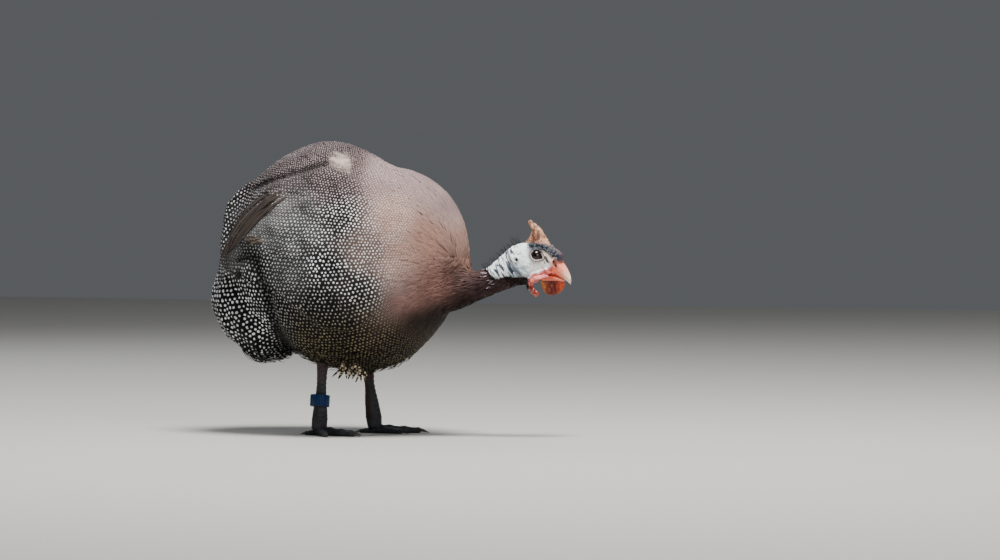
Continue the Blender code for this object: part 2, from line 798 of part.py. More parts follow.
# Legs
def make_toe(length, height, half_width, matrix):
    """Toe with swollen pads, flat along the floor and cut square at its claw."""
    rings = []
    stations = 3 * TOE_PADS + 1
    for k in range(stations):
        share = k / (stations - 1)
        swell = 1 + TOE_SWELL * math.cos(2 * math.pi * TOE_PADS * share)
        high = height * (1 - TOE_HEIGHT_LOSS * share) * swell
        half = half_width * (1 - TOE_WIDTH_LOSS * share) * swell
        ring = []
        for i in range(TOE_SIDES):
            angle = 2 * math.pi * (i + 0.5) / TOE_SIDES
            z = max(high * (TOE_WIDEST + (1 - TOE_WIDEST) * math.sin(angle)), 0)
            ring.append(matrix @ (Vector((length * share, half * math.cos(angle), z)) * MM))
        rings.append(ring)
    return loft("toe", rings, "leg")


def make_claw(name, length, high, half, matrix):
    """Curved claw that starts at the toe's end and comes down to just above the floor."""
    rings = []
    for k in range(CLAW_RINGS):
        share = k / CLAW_RINGS
        middle = high * (CLAW_MIDDLE - CLAW_FALL * share**2)
        thin = 1 - 0.8 * share
        ring = []
        for i in range(TOE_SIDES):
            angle = 2 * math.pi * (i + 0.5) / TOE_SIDES
            z = max(middle + high * CLAW_HALF_HEIGHT * thin * math.sin(angle), CLAW_LOWEST_Z)
            y = half * thin * math.cos(angle)
            ring.append(matrix @ (Vector((length * share, y, z)) * MM))
        rings.append(ring)
    tip = matrix @ (Vector((length, 0, CLAW_TIP_Z)) * MM)
    return loft(name, rings, "claw", end=tip)


def leg_axis(side, z):
    """Middle of one shank at a height, on the torso's own x."""
    base = LEFT_LEG if side > 0 else RIGHT_LEG
    lean = LEFT_LEAN if side > 0 else RIGHT_LEAN
    turn = math.radians(LEFT_FOOT_YAW if side > 0 else RIGHT_FOOT_YAW)
    top, bottom = TARSUS_ROWS[0][1], TARSUS_ROWS[-1][1]
    forward = read_rows([(-row[1], row[0]) for row in TARSUS_ROWS], -z)[0]
    x = base[0] + lean * (top - z) / (top - bottom) + forward * math.cos(turn)
    return x, base[1] + forward * math.sin(turn)


def make_leg(side, torso):
    """Hock, scaled shank and foot of one leg, with its four claws as nodes of their own."""
    word = "left" if side > 0 else "right"
    turn = math.radians(LEFT_FOOT_YAW if side > 0 else RIGHT_FOOT_YAW)
    keyed = [(-row[1], *row[2:]) for row in TARSUS_ROWS]
    bottom = TARSUS_ROWS[-1][1]
    scute = (SCUTES_FROM_Z - bottom) / SCUTES_PER_LEG
    levels = [(z, 0) for z in HOCK_LEVELS]
    for k in range(SCUTES_PER_LEG):
        upper_edge = SCUTES_FROM_Z - scute * k
        levels += [(upper_edge, 0), (upper_edge - SCUTE_OVERHANG * scute, SCUTE_HEIGHT)]
    levels.append((bottom, 0))
    rings = []
    for z, plate in levels:
        lowered = max(z - HOCK_FOOT_Z, 0) * HOCK_RISE[word]
        half_long, half_wide = read_rows(keyed, lowered - z)
        middle = Vector(leg_axis(side, z))
        ring = []
        for i in range(TARSUS_SIDES):
            angle = 2 * math.pi * i / TARSUS_SIDES
            front = SCUTE_BACK_SHARE + (1 - SCUTE_BACK_SHARE) * max(math.cos(angle), 0)
            f = (half_long + plate * front) * math.cos(angle)
            l = (half_wide + plate * SCUTE_BACK_SHARE) * math.sin(angle)
            x = middle.x + f * math.cos(turn) - l * math.sin(turn)
            y = middle.y + f * math.sin(turn) + l * math.cos(turn)
            ring.append(place(x, y, z))
        rings.append(ring)
    leg = loft("leg_" + word, rings, "leg")
    ankle = place(*leg_axis(side, bottom), 0)
    toes = []
    for toe, yaw, length, height, half in TOES:
        at = Matrix.Translation(ankle) @ Matrix.Rotation(turn + side * math.radians(yaw), 4, "Z")
        toes.append(make_toe(length, height, half, at))
        claw_at = at @ Matrix.Translation(Vector((length + GAP, 0, 0)) * MM)
        claw_length = HIND_CLAW_LENGTH if toe == "hind" else CLAW_LENGTH
        claw_name = f"claw_{word}_{toe}"
        make_claw(claw_name, claw_length, height * CLAW_SHARE, half * CLAW_SHARE, claw_at)
    combine(leg, toes, "UNION")
    cut(leg, [torso])
    return leg


def make_band():
    """Loose plastic ring that leans on the right shank where it widens."""
    half = BAND_HEIGHT / 2
    outer = BAND_INNER_RADIUS + BAND_THICKNESS
    profile = (
        (BAND_INNER_RADIUS, -half),
        (outer, -half),
        (outer, half),
        (BAND_INNER_RADIUS, half),
    )
    points, faces = [], []
    for k in range(BAND_SEGMENTS):
        angle = 2 * math.pi * k / BAND_SEGMENTS
        for radius, height in profile:
            points.append(Vector((radius * math.cos(angle), radius * math.sin(angle), height)) * MM)
    for k in range(BAND_SEGMENTS):
        near, far = k * 4, (k + 1) % BAND_SEGMENTS * 4
        for i in range(4):
            j = (i + 1) % 4
            faces.append((near + i, near + j, far + j, far + i))
    band = new_object("leg_band", points, faces, "band")
    x, y = leg_axis(-1, BAND_Z)
    at = Matrix.Translation(place(x + BAND_OFFSET[0], y + BAND_OFFSET[1], BAND_Z))
    return moved(band, at @ Matrix.Rotation(-math.radians(BAND_TILT), 4, "X"))


# Whole bird
for old in list(bpy.data.objects):
    bpy.data.objects.remove(old)
torso = make_torso()
neck = make_neck(torso)
eyes = make_eyes()
head = make_head(eyes)
casque = make_casque()
cut(casque, [head])
upper_bill = bill_half("bill_upper", UPPER_BILL_ROWS, UPPER_BILL_TIP)
cut(upper_bill, [head])
lower_bill = bill_half("bill_lower", LOWER_BILL_ROWS, LOWER_BILL_TIP)
cut(lower_bill, [head, upper_bill])
right_wattle = make_wattle("wattle_right", RIGHT_WATTLE_ROWS, RIGHT_WATTLE_ACROSS)
left_wattle = make_wattle("wattle_left", LEFT_WATTLE_ROWS, LEFT_WATTLE_ACROSS)
for wattle in (right_wattle, left_wattle):
    cut(wattle, [head, lower_bill, upper_bill])
for side in (1, -1):
    make_wing(side, torso)
tail = make_tail(torso)
for side in (1, -1):
    make_leg(side, torso)
make_band()
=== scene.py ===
"""Looks of a life-size helmeted guinea fowl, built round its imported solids."""

import math

import bmesh
import bpy
import numpy as np
from mathutils import Matrix, Vector, noise
from mathutils.bvhtree import BVHTree


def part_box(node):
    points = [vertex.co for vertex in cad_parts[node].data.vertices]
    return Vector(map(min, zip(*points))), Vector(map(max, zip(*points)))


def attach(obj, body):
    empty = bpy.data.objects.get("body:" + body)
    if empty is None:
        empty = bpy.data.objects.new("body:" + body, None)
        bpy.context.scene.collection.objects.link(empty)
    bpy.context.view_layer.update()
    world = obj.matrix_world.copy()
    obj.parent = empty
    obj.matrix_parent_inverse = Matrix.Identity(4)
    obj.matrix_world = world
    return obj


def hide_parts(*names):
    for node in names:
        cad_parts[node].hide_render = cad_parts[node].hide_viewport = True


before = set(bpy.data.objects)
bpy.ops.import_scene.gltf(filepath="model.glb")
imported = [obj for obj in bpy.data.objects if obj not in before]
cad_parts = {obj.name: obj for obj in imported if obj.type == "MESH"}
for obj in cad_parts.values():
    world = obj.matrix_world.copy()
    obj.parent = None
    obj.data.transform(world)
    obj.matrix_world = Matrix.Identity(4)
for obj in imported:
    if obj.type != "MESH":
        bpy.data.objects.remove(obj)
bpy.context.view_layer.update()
bpy.ops.object.select_all(action="DESELECT")


# Studio: a pale matt floor, soft light from above and a camera at the bird's own height, which
# looks from its right and a little from its front. None of it belongs to the bird.
FLOOR_SIZE = 8.0
LAMP_AIM = Vector((0, 0, 0.15))
VIEW_AZIMUTH, VIEW_ELEVATION = math.radians(25), math.radians(1.5)
VIEW_DISTANCE, VIEW_LENS, SENSOR_WIDTH = 6.0, 216, 36
VIEW_AIM = Vector((0.0883, 0.0663, 0.1542))


def linear(colour):
    """Linear red, green and blue of an sRGB hex colour."""
    channels = np.array([int(colour[i : i + 2], 16) / 255 for i in (1, 3, 5)])
    return np.where(channels <= 0.04045, channels / 12.92, ((channels + 0.055) / 1.055) ** 2.4)


def new_material(name):
    """Node material with its Principled shader."""
    material = bpy.data.materials.new(name)
    material.use_nodes = True
    return material, material.node_tree.nodes["Principled BSDF"]


def feed(node, inputs):
    """Sets inputs of a node, by name or number, to values, or links them from sockets."""
    for key, value in inputs.items():
        if isinstance(value, bpy.types.NodeSocket):
            node.id_data.links.new(value, node.inputs[key])
        else:
            node.inputs[key].default_value = value


def placed(name, data):
    """New object in the scene."""
    piece = bpy.data.objects.new(name, data)
    bpy.context.scene.collection.objects.link(piece)
    return piece


bpy.ops.mesh.primitive_plane_add(size=FLOOR_SIZE, location=(0, 0, 0))
floor = bpy.context.object
floor.name = "floor"
# Matt paint: an even light grey without any gleam
floor_paint, shader = new_material("matt painted studio floor")
feed(shader, {"Base Color": (*linear("#B4B3AF"), 1), "Roughness": 0.9})
floor.data.materials.append(floor_paint)

world = bpy.data.worlds.new("studio")
bpy.context.scene.world = world
world.use_nodes = True
feed(world.node_tree.nodes["Background"], {"Color": (0.80, 0.84, 0.90, 1), "Strength": 0.13})

for name, spot, size, watts, colour in (
    ("overhead_box", (0.45, -0.45, 2.2), 0.8, 112, (1.0, 0.98, 0.95)),
    ("front_box", (1.9, -1.7, 1.3), 1.4, 24, (1.0, 0.98, 0.96)),
    ("back_box", (-1.6, 1.2, 1.6), 1.4, 16, (0.95, 0.98, 1.0)),
):
    box = bpy.data.lights.new(name, "AREA")
    box.size, box.energy, box.color = size, watts, colour
    lamp = placed(name, box)
    lamp.location = spot
    lamp.rotation_euler = (LAMP_AIM - Vector(spot)).to_track_quat("-Z", "Y").to_euler()

camera = placed("camera", bpy.data.cameras.new("camera"))
camera.data.lens, camera.data.sensor_width = VIEW_LENS, SENSOR_WIDTH
back = Vector((
    math.sin(VIEW_AZIMUTH) * math.cos(VIEW_ELEVATION),
    -math.cos(VIEW_AZIMUTH) * math.cos(VIEW_ELEVATION),
    math.sin(VIEW_ELEVATION),
))
camera.location = VIEW_AIM + back * VIEW_DISTANCE
camera.rotation_euler = (-back).to_track_quat("-Z", "Y").to_euler()
bpy.context.scene.camera = camera


# Skin of the body: one soft hide, blue-grey and hidden under the feathers, later grown together
# with that of the neck and head. It takes the place of the flesh solids and lies inside them by
# the depth of the coat.
# One millimetre in the metres of the scene, in which all sizes of the bird are given
MM = 0.001
COAT_DEPTH = 3.0
BODY_VOXEL = 3.2
CLOSING = 1.6
NECK_ROOT, NECK_BLEND = Vector((0.063, 0.0, 0.150)), 0.046
# Ways in the camera's view: level to its right, and towards it; and the place of its corner
LEVEL = np.array([math.cos(VIEW_AZIMUTH), math.sin(VIEW_AZIMUTH), 0])
TOWARD = np.array([math.sin(VIEW_AZIMUTH), -math.cos(VIEW_AZIMUTH), 0])
VIEW_CORNER = (394.0, 435.0)
# Folds of the coat, as places right and down in the camera's view, with depth and half width
FOLDS = (
    (((255, 190), (268, 183), (285, 177), (305, 171), (330, 163)), 2.2, 3.0),
    (((258, 262), (266, 280), (272, 300), (278, 325), (288, 348)), 4.0, 4.5),
    (((242, 261), (252, 257), (262, 256)), 3.0, 3.5),
    (((234, 236), (243, 218), (256, 204), (268, 196)), 1.6, 2.5),
)
# Places on the coat, in millimetres right and down in the camera's view of the right side, by
# the name and tint of the ground, with the lie of the feathers there (right, up), pitch of the
# dots, their radius by the pitch, share of lines, and strength of the marks
COAT_ROWS = {
    "neck": ("#2B1F21", (
        (492, 272, -0.9, -0.3, 3, 0.1, 0.9, 0), (480, 288, -1, -0.15, 3, 0.1, 0.9, 0),
        (478, 279, -1, -0.05, 3, 0.1, 0.9, 0),
    )),
    # The throat's dark brown ground is darkened further as painted shade under the breast
    "throat": ("#110A07", (
        (466, 303, -1, -0.25, 3, 0.1, 0.9, 0), (442, 316, -0.95, -0.25, 3.2, 0.1, 0.4, 0),
        (420, 322, -0.95, -0.25, 3, 0.16, 0.3, 0.25),
    )),
    "collar": ("#4F3A39", (
        (470, 281, -1, 0.05, 3, 0.1, 0.8, 0),
    )),
    "mantle": ("#8D6C60", (
        (474, 262, -0.75, 0.66, 3, 0.1, 0.3, 0), (472, 232, -0.35, 1, 3, 0.1, 0, 0),
        (432, 240, -1, 0.15, 3, 0.1, 0.3, 0), (400, 215, -1, 0.05, 2.7, 0.21, 0.2, 0.6),
        (405, 260, -1, 0, 2.8, 0.21, 0.2, 0.55),
    )),
    "shoulder": ("#7F6B6A", (
        (452, 200, -0.7, 0.7, 2.8, 0.1, 0, 0), (425, 180, -0.9, 0.45, 2.9, 0.23, 0.2, 0.6),
        (392, 170, -1, 0.25, 2.9, 0.25, 0, 0.78),
    )),
    "breast": ("#7F5D57", (
        (440, 286, -1, -0.02, 3.2, 0.1, 0.9, 0), (412, 297, -1, -0.05, 3.2, 0.14, 0.9, 0.3),
    )),
    "hump": ("#33292A", (
        (350, 148, -1, 0, 2.5, 0.22, 0, 0.6), (310, 155, -1, -0.3, 2.5, 0.22, 0, 0.7),
        (272, 176, -0.75, -0.7, 3, 0.22, 0, 0.7), (340, 185, -1, -0.25, 2.6, 0.22, 0, 0.75),
    )),
    "wing": ("#0C0B0E", (
        (300, 195, -0.85, -0.55, 3.6, 0.18, 0.3, 0.8), (248, 200, -0.5, -0.9, 4.6, 0.22, 0, 0.9),
        (232, 235, -0.15, -1, 4.6, 0.2, 0, 0.9), (220, 222, 0, -1, 4.6, 0.23, 0, 0.9),
        (219, 250, 0, -1, 4.6, 0.23, 0, 0.9), (345, 215, -1, -0.3, 3.7, 0.25, 0, 0.9),
        (300, 230, -0.95, -0.35, 4.1, 0.21, 0.2, 0.85), (266, 236, -0.9, -0.4, 3.6, 0.19, 0.4, 0.7),
        (330, 265, -1, 0, 4.5, 0.25, 0, 1), (290, 275, -0.95, 0.15, 3.6, 0.19, 0.25, 0.7),
        (365, 290, -1, 0.02, 4.4, 0.25, 0, 0.9), (325, 305, -1, 0.05, 4.6, 0.2, 0, 0.75),
    )),
    "quill": ("#292322", (
        (280, 203, -0.86, -0.5, 3.6, 0.19, 0.5, 0.75), (254, 223, -0.7, -0.72, 3, 0.14, 0.6, 0.3),
        (236, 252, -0.45, -0.9, 2.8, 0.14, 0.6, 0.3),
    )),
    # Painted highlight: the "rim" rows give a pale tint along the lit top edge of the mantle
    "rim": ("#C0B1AF", (
        (462, 182, -0.6, 0.8, 2.8, 0.1, 0, 0), (481, 225, -0.35, 1, 3, 0.1, 0, 0),
    )),
    # Painted shade: near-black ground in the creases by the wing and lobe and under the wing tip
    "crease_shade": ("#040405", (
        (262, 182, -0.6, -0.8, 3.8, 0.22, 0, 0.6), (250, 248, -0.6, -0.75, 3.4, 0.2, 0, 0.25),
        (274, 300, 0, -1, 4.2, 0.22, 0, 0.5), (284, 330, 0.2, -1, 4.2, 0.22, 0, 0.5),
        (262, 262, -0.4, -0.9, 4.4, 0.22, 0, 0.7),
    )),
    "flank": ("#5A4C47", (
        (372, 250, -1, -0.05, 3.2, 0.22, 0, 0.7),
    )),
    # Painted shade: the belly's ground is darker than its own colour, as shade under the body
    "belly": ("#0E0A08", (
        (350, 335, -1, -0.1, 4.3, 0.21, 0, 0.75), (310, 345, -0.95, -0.3, 4.5, 0.24, 0, 0.8),
        (400, 345, -1, -0.2, 3.8, 0.23, 0, 0.7), (436, 345, -0.9, -0.45, 3.4, 0.22, 0, 0.6),
        (380, 368, -1, -0.1, 4, 0.23, 0, 0.6),
    )),
    "lobe": ("#08080B", (
        (228, 290, 0, -1, 5.2, 0.26, 0, 0.9), (252, 290, -0.1, -1, 5.5, 0.27, 0, 1),
        (225, 325, 0.25, -1, 5.4, 0.26, 0, 0.9), (262, 325, 0.2, -1, 5.7, 0.27, 0, 1),
        (250, 350, 0.7, -0.7, 5.4, 0.19, 0, 0.6), (280, 355, 0.9, -0.4, 5.4, 0.2, 0, 0.55),
    )),
}
COAT_REACH = 11.0
# Edge of the plain mantle in the same view, as down and right, and half the width of its fade
MANTLE_EDGE = (
    (143, 155, 165, 195, 232, 270, 295, 310, 320, 328, 336),
    (470, 458, 444, 432, 424, 418, 408, 405, 420, 438, 476),
)
MANTLE_FADE = 30.0
MARK_WHITE, MARK_SHADED_CREAM, MARK_GREY = "#FBFDFF", "#948869", "#C0B2B3"
WORN_PATCH, WORN_SIZE, WORN_TINT = (345, 162), 7.0, "#D2BDB0"
# Half the width of the band on the back where the lie turns straight, and rounds of blending
MIDDLE_BAND, LIE_ROUNDS = 14, 12
# Rounds of fitting the dot numbers, steps of the first and of later ones
GRID_ROUNDS, FIRST_STEPS, LATER_STEPS = 9, 900, 120
# Height of a row by the pitch where round dots lie in staggered rows
STAGGER = 0.866


def gather(name, meshes):
    """New object that holds merged copies of meshes."""
    work = bmesh.new()
    for part in meshes:
        work.from_mesh(part)
    bmesh.ops.remove_doubles(work, verts=work.verts, dist=0.01 * MM)
    mesh = bpy.data.meshes.new(name)
    work.to_mesh(mesh)
    work.free()
    return placed(name, mesh)


def copy_nodes(name, *nodes):
    """New object that holds merged copies of CAD nodes."""
    return gather(name, [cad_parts[node].data for node in nodes])


def apply_step(piece, kind, **settings):
    """Adds one modifier to a piece and applies it."""
    step = piece.modifiers.new(kind.lower(), kind)
    for key, value in settings.items():
        setattr(step, key, value)
    bpy.context.view_layer.objects.active = piece
    bpy.ops.object.modifier_apply(modifier=step.name)


def remesh(piece, voxel, smoothing=0):
    """Melts a piece into one closed skin of small squares, then smooths it."""
    apply_step(piece, "REMESH", mode="VOXEL", voxel_size=voxel * MM)
    if smoothing:
        apply_step(piece, "SMOOTH", factor=0.5, iterations=smoothing)


def points_of(piece):
    """Places and normals of a piece's points."""
    vertices = piece.data.vertices
    return np.array([v.co for v in vertices]), np.array([v.normal for v in vertices])


def move_points(piece, places):
    """Moves a piece's points to new places."""
    piece.data.vertices.foreach_set("co", places.ravel())
    piece.data.update()


def waves(spots):
    """Smooth noise from -1 to 1 at spots."""
    return np.array([noise.noise(spot) for spot in spots.tolist()])


def smooth(value, start, end):
    """Soft step from 0 at start to 1 at end."""
    t = np.clip((value - start) / (end - start), 0, 1)
    return t * t * (3 - 2 * t)


def flat_on(vectors, normals):
    """Vectors laid flat on a surface and made one long."""
    flat = vectors - (vectors * normals).sum(1, keepdims=True) * normals
    return flat / np.maximum(np.linalg.norm(flat, axis=1, keepdims=True), 1e-9)


def seen(points):
    """Millimetres right and down of points in the camera's view, for the right side of the bird."""
    return np.stack([VIEW_CORNER[0] + points @ LEVEL / MM, VIEW_CORNER[1] - points[:, 2] / MM], 1)


def fold_share(view, line, width):
    """Share from 0 to 1 of a fold at places, highest on its line."""
    away = np.full(len(view), 1e9)
    for a, b in zip(line, line[1:]):
        a, b = np.array(a, float), np.array(b, float)
        t = np.clip((view - a) @ (b - a) / ((b - a) @ (b - a)), 0, 1)
        away = np.minimum(away, np.linalg.norm(view - a - t[:, None] * (b - a), axis=1))
    return np.exp(-((away / width) ** 2))


def from_rows(rows, places, reach):
    """Values of a table of places, blended smoothly over other places."""
    table = np.array(rows, float)
    apart = ((places[:, None] - table[None, :, :2]) ** 2).sum(2)
    weights = (apart + reach**2) ** -2.0
    weights /= weights.sum(1, keepdims=True)
    return weights @ table[:, 2:]


def blend(tints, tint, share):
    """Tints turned towards one, an sRGB hex colour or linear values, by a share at each place."""
    share = np.reshape(share, (-1, 1))
    return tints * (1 - share) + (linear(tint) if isinstance(tint, str) else tint) * share


def cut_away(work, place, way):
    """Cuts away what lies beyond a plane."""
    geom = work.verts[:] + work.edges[:] + work.faces[:]
    bmesh.ops.bisect_plane(work, geom=geom, dist=1e-6, plane_co=place, plane_no=way, clear_outer=True)


class Form:
    """Surface that feathers lie on: its points with what they carry, and a search for the nearest place."""

    def __init__(self, piece, mirrored):
        """Reads a piece's mesh; a mirrored form keeps its right half, which then serves both sides."""
        work = bmesh.new()
        work.from_mesh(piece.data)
        if mirrored:
            cut_away(work, (0, 0, 0), (0, 1, 0))
        bmesh.ops.triangulate(work, faces=work.faces)
        work.normal_update()
        self.mirrored = mirrored
        self.points = np.array([v.co for v in work.verts])
        self.normals = np.array([v.normal for v in work.verts])
        self.faces = np.array([[v.index for v in f.verts] for f in work.faces])
        work.free()
        self.tree = BVHTree.FromPolygons(self.points.tolist(), self.faces.tolist())
        sides = np.concatenate([self.faces[:, [0, 1]], self.faces[:, [1, 2]], self.faces[:, [2, 0]]])
        self.edges = np.unique(np.sort(sides, axis=1), axis=0)
        corners = self.points[self.faces]
        cross = np.cross(corners[:, 1] - corners[:, 0], corners[:, 2] - corners[:, 0])
        self.area = np.linalg.norm(cross, axis=1) / 2
        self.face_normals = cross / (2 * self.area[:, None])

    def pooled(self, values):
        """Mean of each point's neighbours."""
        total, count = np.zeros_like(values), np.zeros(len(values))
        for a, b in ((0, 1), (1, 0)):
            np.add.at(total, self.edges[:, a], values[self.edges[:, b]])
            np.add.at(count, self.edges[:, a], 1)
        return total / count[:, None]

    def nearest(self, points):
        """Nearest places on the form, with what they carry: normal, lie and then plain values."""
        side = np.where(self.mirrored & (points[:, 1] > 0), -1.0, 1.0)
        asked = points.copy()
        asked[:, 1] *= side
        hits = [self.tree.find_nearest(p) for p in asked.tolist()]
        at = np.array([hit[0] for hit in hits])
        triangle = self.faces[[hit[2] for hit in hits]]
        a, b, c = (self.points[triangle[:, i]] for i in range(3))
        u, v, w = b - a, c - a, at - a
        uu, uv, vv = (u * u).sum(1), (u * v).sum(1), (v * v).sum(1)
        wu, wv = (w * u).sum(1), (w * v).sum(1)
        whole = uu * vv - uv * uv
        s, t = (vv * wu - uv * wv) / whole, (uu * wv - uv * wu) / whole
        weights = np.clip(np.stack([1 - s - t, s, t], 1), 0, 1)
        carried = (self.carried[triangle] * weights[:, :, None]).sum(1)
        for values in (at[:, 1], carried[:, 1], carried[:, 4]):
            values *= side
        carried[:, :3] /= np.linalg.norm(carried[:, :3], axis=1, keepdims=True)
        carried[:, 3:6] = flat_on(carried[:, 3:6], carried[:, :3])
        return at, carried


coat_form = copy_nodes("coat_form", "torso", "wing_left", "wing_right", "tail", "neck")
remesh(coat_form, BODY_VOXEL)
apply_step(coat_form, "DISPLACE", strength=CLOSING * MM, mid_level=0)
remesh(coat_form, BODY_VOXEL)
apply_step(coat_form, "DISPLACE", strength=-CLOSING * MM, mid_level=0)
apply_step(coat_form, "SMOOTH", factor=0.5, iterations=4)
root_area = coat_form.vertex_groups.new(name="neck_root")
for vertex in coat_form.data.vertices:
    away = (vertex.co - NECK_ROOT).length / NECK_BLEND
    root_area.add([vertex.index], max(0.0, 1 - away), "REPLACE")
apply_step(coat_form, "SMOOTH", factor=0.5, iterations=34, vertex_group="neck_root")

co, normal = points_of(coat_form)
mirror = np.stack([np.ones(len(co)), np.where(co[:, 1] > 0, -1.0, 1.0), np.ones(len(co))], 1)
view = seen(co * mirror)
for line, depth, width in FOLDS:
    share = fold_share(view, line, width) * np.clip((normal * mirror) @ TOWARD * 3 + 0.6, 0, 1)
    co -= normal * (share * depth * MM)[:, None]
move_points(coat_form, co)
apply_step(coat_form, "SMOOTH", factor=0.5, iterations=1)
form = Form(coat_form, True)

form_view = seen(form.points)
coat_rows = [(*row, *linear(tint)) for tint, group in COAT_ROWS.values() for row in group]
form_values = from_rows(coat_rows, form_view, COAT_REACH)
# Painted shade: the ground and dot colours are darker in the folds of the coat
fold_shade = np.ones(len(form_view))
for line, depth, width in FOLDS:
    fold_shade *= 1 - 0.8 * fold_share(form_view, line, width)
form_values[:, 6:9] *= fold_shade[:, None]
# Feathers part nowhere on the back: the lie turns straight at the middle plane
middle_share = smooth(np.abs(form.points[:, 1]) / MM, 0, MIDDLE_BAND)
lie = flat_on(form_values[:, :1] * LEVEL + form_values[:, 1:2] * np.array([0, 0, 1.0]), form.normals)
for _ in range(LIE_ROUNDS):
    lie[:, 1] *= middle_share
    lie = flat_on(lie + form.pooled(lie), form.normals)

# Rows of dots: two numbers that count dots along and across the lie, spread over the form so
# that their slopes match the pitch as well as the bending surface allows
corners = form.points[form.faces]
opposite = [corners[:, (i + 2) % 3] - corners[:, (i + 1) % 3] for i in range(3)]
slopes = np.stack([np.cross(form.face_normals, edge) / (2 * form.area[:, None]) for edge in opposite], 1)
plain = smooth(form_view[:, 0] - np.interp(form_view[:, 1], *MANTLE_EDGE), -MANTLE_FADE, MANTLE_FADE)
face_weight = form.area * (1.03 - plain[form.faces].mean(1))


def slope_of(values):
    """Slope of numbers over each face of the form."""
    return (values[form.faces][:, :, None] * slopes).sum(1)


def pull_of(slope):
    """Pull on each form point's number from weighted slopes of the faces round it."""
    pull = (slopes * (slope * face_weight[:, None])[:, None]).sum(2)
    return np.bincount(form.faces.ravel(), pull.ravel(), len(form.points))


def spread_numbers(wish, found, steps):
    """Numbers on the form points with slopes nearest to the wanted ones, by conjugate gradients."""
    rest = pull_of(wish) - pull_of(slope_of(found))
    way, power = rest.copy(), rest @ rest
    for _ in range(steps):
        pull = pull_of(slope_of(way))
        step = power / (way @ pull)
        found = found + step * way
        rest = rest - step * pull
        power, old_power = rest @ rest, power
        way = rest + way * power / old_power
    return found


pitch = form_values[:, 2][form.faces].mean(1)[:, None] * MM
face_lie = flat_on(lie[form.faces].mean(1), form.face_normals)
face_across = np.cross(form.face_normals, face_lie)
wishes = [face_across / pitch, face_lie / pitch]
counts = [np.zeros(len(form.points))] * 2
for k in range(GRID_ROUNDS):
    steps = FIRST_STEPS if k == 0 else LATER_STEPS
    counts = [spread_numbers(wish, found, steps) for wish, found in zip(wishes, counts)]
    # The nearest square grid to what came out, at the wanted pitch, is the next wish
    one, two = (slope_of(found) for found in counts)
    even = (one * face_across).sum(1) + (two * face_lie).sum(1)
    odd = (two * face_across).sum(1) - (one * face_lie).sum(1)
    even, odd = (v[:, None] / np.hypot(even, odd)[:, None] for v in (even, odd))
    wishes = [(face_across * even - face_lie * odd) / pitch, (face_across * odd + face_lie * even) / pitch]
count_across, count_along = counts[0] - counts[0].min(), counts[1] / STAGGER

# Room of one dot, and how far apart two counted places really are, so that the dots stay round
one, two = slope_of(count_across) * MM, slope_of(count_along) * MM
face_squares = np.stack([(one**2).sum(1), (one * two).sum(1), (two**2).sum(1)], 1)
squares, shares = np.zeros((len(form.points), 3)), np.zeros(len(form.points))
for i in range(3):
    np.add.at(squares, form.faces[:, i], face_squares * form.area[:, None])
    np.add.at(shares, form.faces[:, i], form.area)
squares /= shares[:, None]
for _ in range(3):
    squares = (squares + form.pooled(squares)) / 2
whole = np.maximum(squares[:, 0] * squares[:, 2] - squares[:, 1] ** 2, 1e-4)
metric = np.stack([squares[:, 2], -squares[:, 1], squares[:, 0]], 1) / whole[:, None]

# What each form point carries: normal, lie, numbers, dot radius, lines, ground colour, strength,
# mark colour and the measure that keeps the dots round
broad = waves(form.points / (16 * MM))
strength = form_values[:, 5] * (1 - plain) * np.clip(0.92 + 0.6 * broad, 0.4, 1.05)
radius = form_values[:, 3] * (1 - 0.4 * plain) * whole**-0.25
# The dots are white, grey towards the back, and cream and darker towards the belly: partly their dusty
# colour, partly painted shade of the underside
right, down = form_view.T
mark = blend(linear(MARK_WHITE), MARK_SHADED_CREAM, smooth(down, 270, 335) * smooth(right, 265, 310))
mark = blend(mark, MARK_GREY, smooth(down, 225, 175)) * fold_shade[:, None]
whole_coat = np.column_stack([
    form.normals, lie, count_across, count_along, radius, form_values[:, 4],
    form_values[:, 6:9], strength, mark, metric,
])
# A worn pale patch on the right side of the back, where the feather tips have broken off
off = form_view - WORN_PATCH
away = np.hypot(off[:, 0] * 0.75, off[:, 1] - 0.25 * off[:, 0])
worn = 0.75 * smooth(away + 10 * waves(form.points / (2.6 * MM)), WORN_SIZE + 2.5, WORN_SIZE - 6)
worn_coat = whole_coat.copy()
worn_coat[:, 10:13] = blend(worn_coat[:, 10:13], WORN_TINT, worn)
worn_coat[:, 13] *= 1 - worn


# Body feathers: overlapping vanes of keratin, rooted in the skin and lying back along the body,
# each on top of the next. Rows of pale dots run on across them, as on the live bird.
# Shares of a vane's length, its width at each, and places across it
CONTOUR = (
    (0.0, 0.18, 0.36, 0.54, 0.70, 0.84, 0.94, 1.0),
    (0.42, 0.80, 0.97, 1.0, 0.93, 0.75, 0.48, 0.12),
    (-1.0, -0.5, 0.0, 0.5, 1.0),
)
SLIM = ((0.0, 0.3, 0.6, 0.8, 0.93, 1.0), (0.5, 0.9, 1.0, 0.8, 0.5, 0.12), (-1.0, 0.0, 1.0))
VANE_CROWN = 0.4
# Distance of roots, length and half width of the feathers on the body and on the breast
ROOT_SPACING, VANE_LENGTH, VANE_HALF = (5.0, 2.8), (21, 24), (7.4, 3.1)
# Where the breast begins, and where the skin of the head takes over, to the right in the view
BREAST_EDGE, HEAD_EDGE = (385, 425), 484
ROOT_HEIGHT = -COAT_DEPTH + 0.3
DOT_STRAY = 0.34
STREAK_DEPTH = 0.10
draw = np.random.default_rng(7)


def add(material, kind, inputs=(), **settings):
    """Adds one shader node and gives its outputs; a kind in capitals is an operation of the Math
    node and gives its one output. Inputs are values or sockets, in order or by name or number."""
    if kind.isupper():
        return add(material, "Math", inputs, operation=kind)[0]
    node = material.node_tree.nodes.new("ShaderNode" + kind)
    for key, value in settings.items():
        setattr(node, key, value)
    feed(node, inputs if isinstance(inputs, dict) else dict(enumerate(inputs)))
    return node.outputs


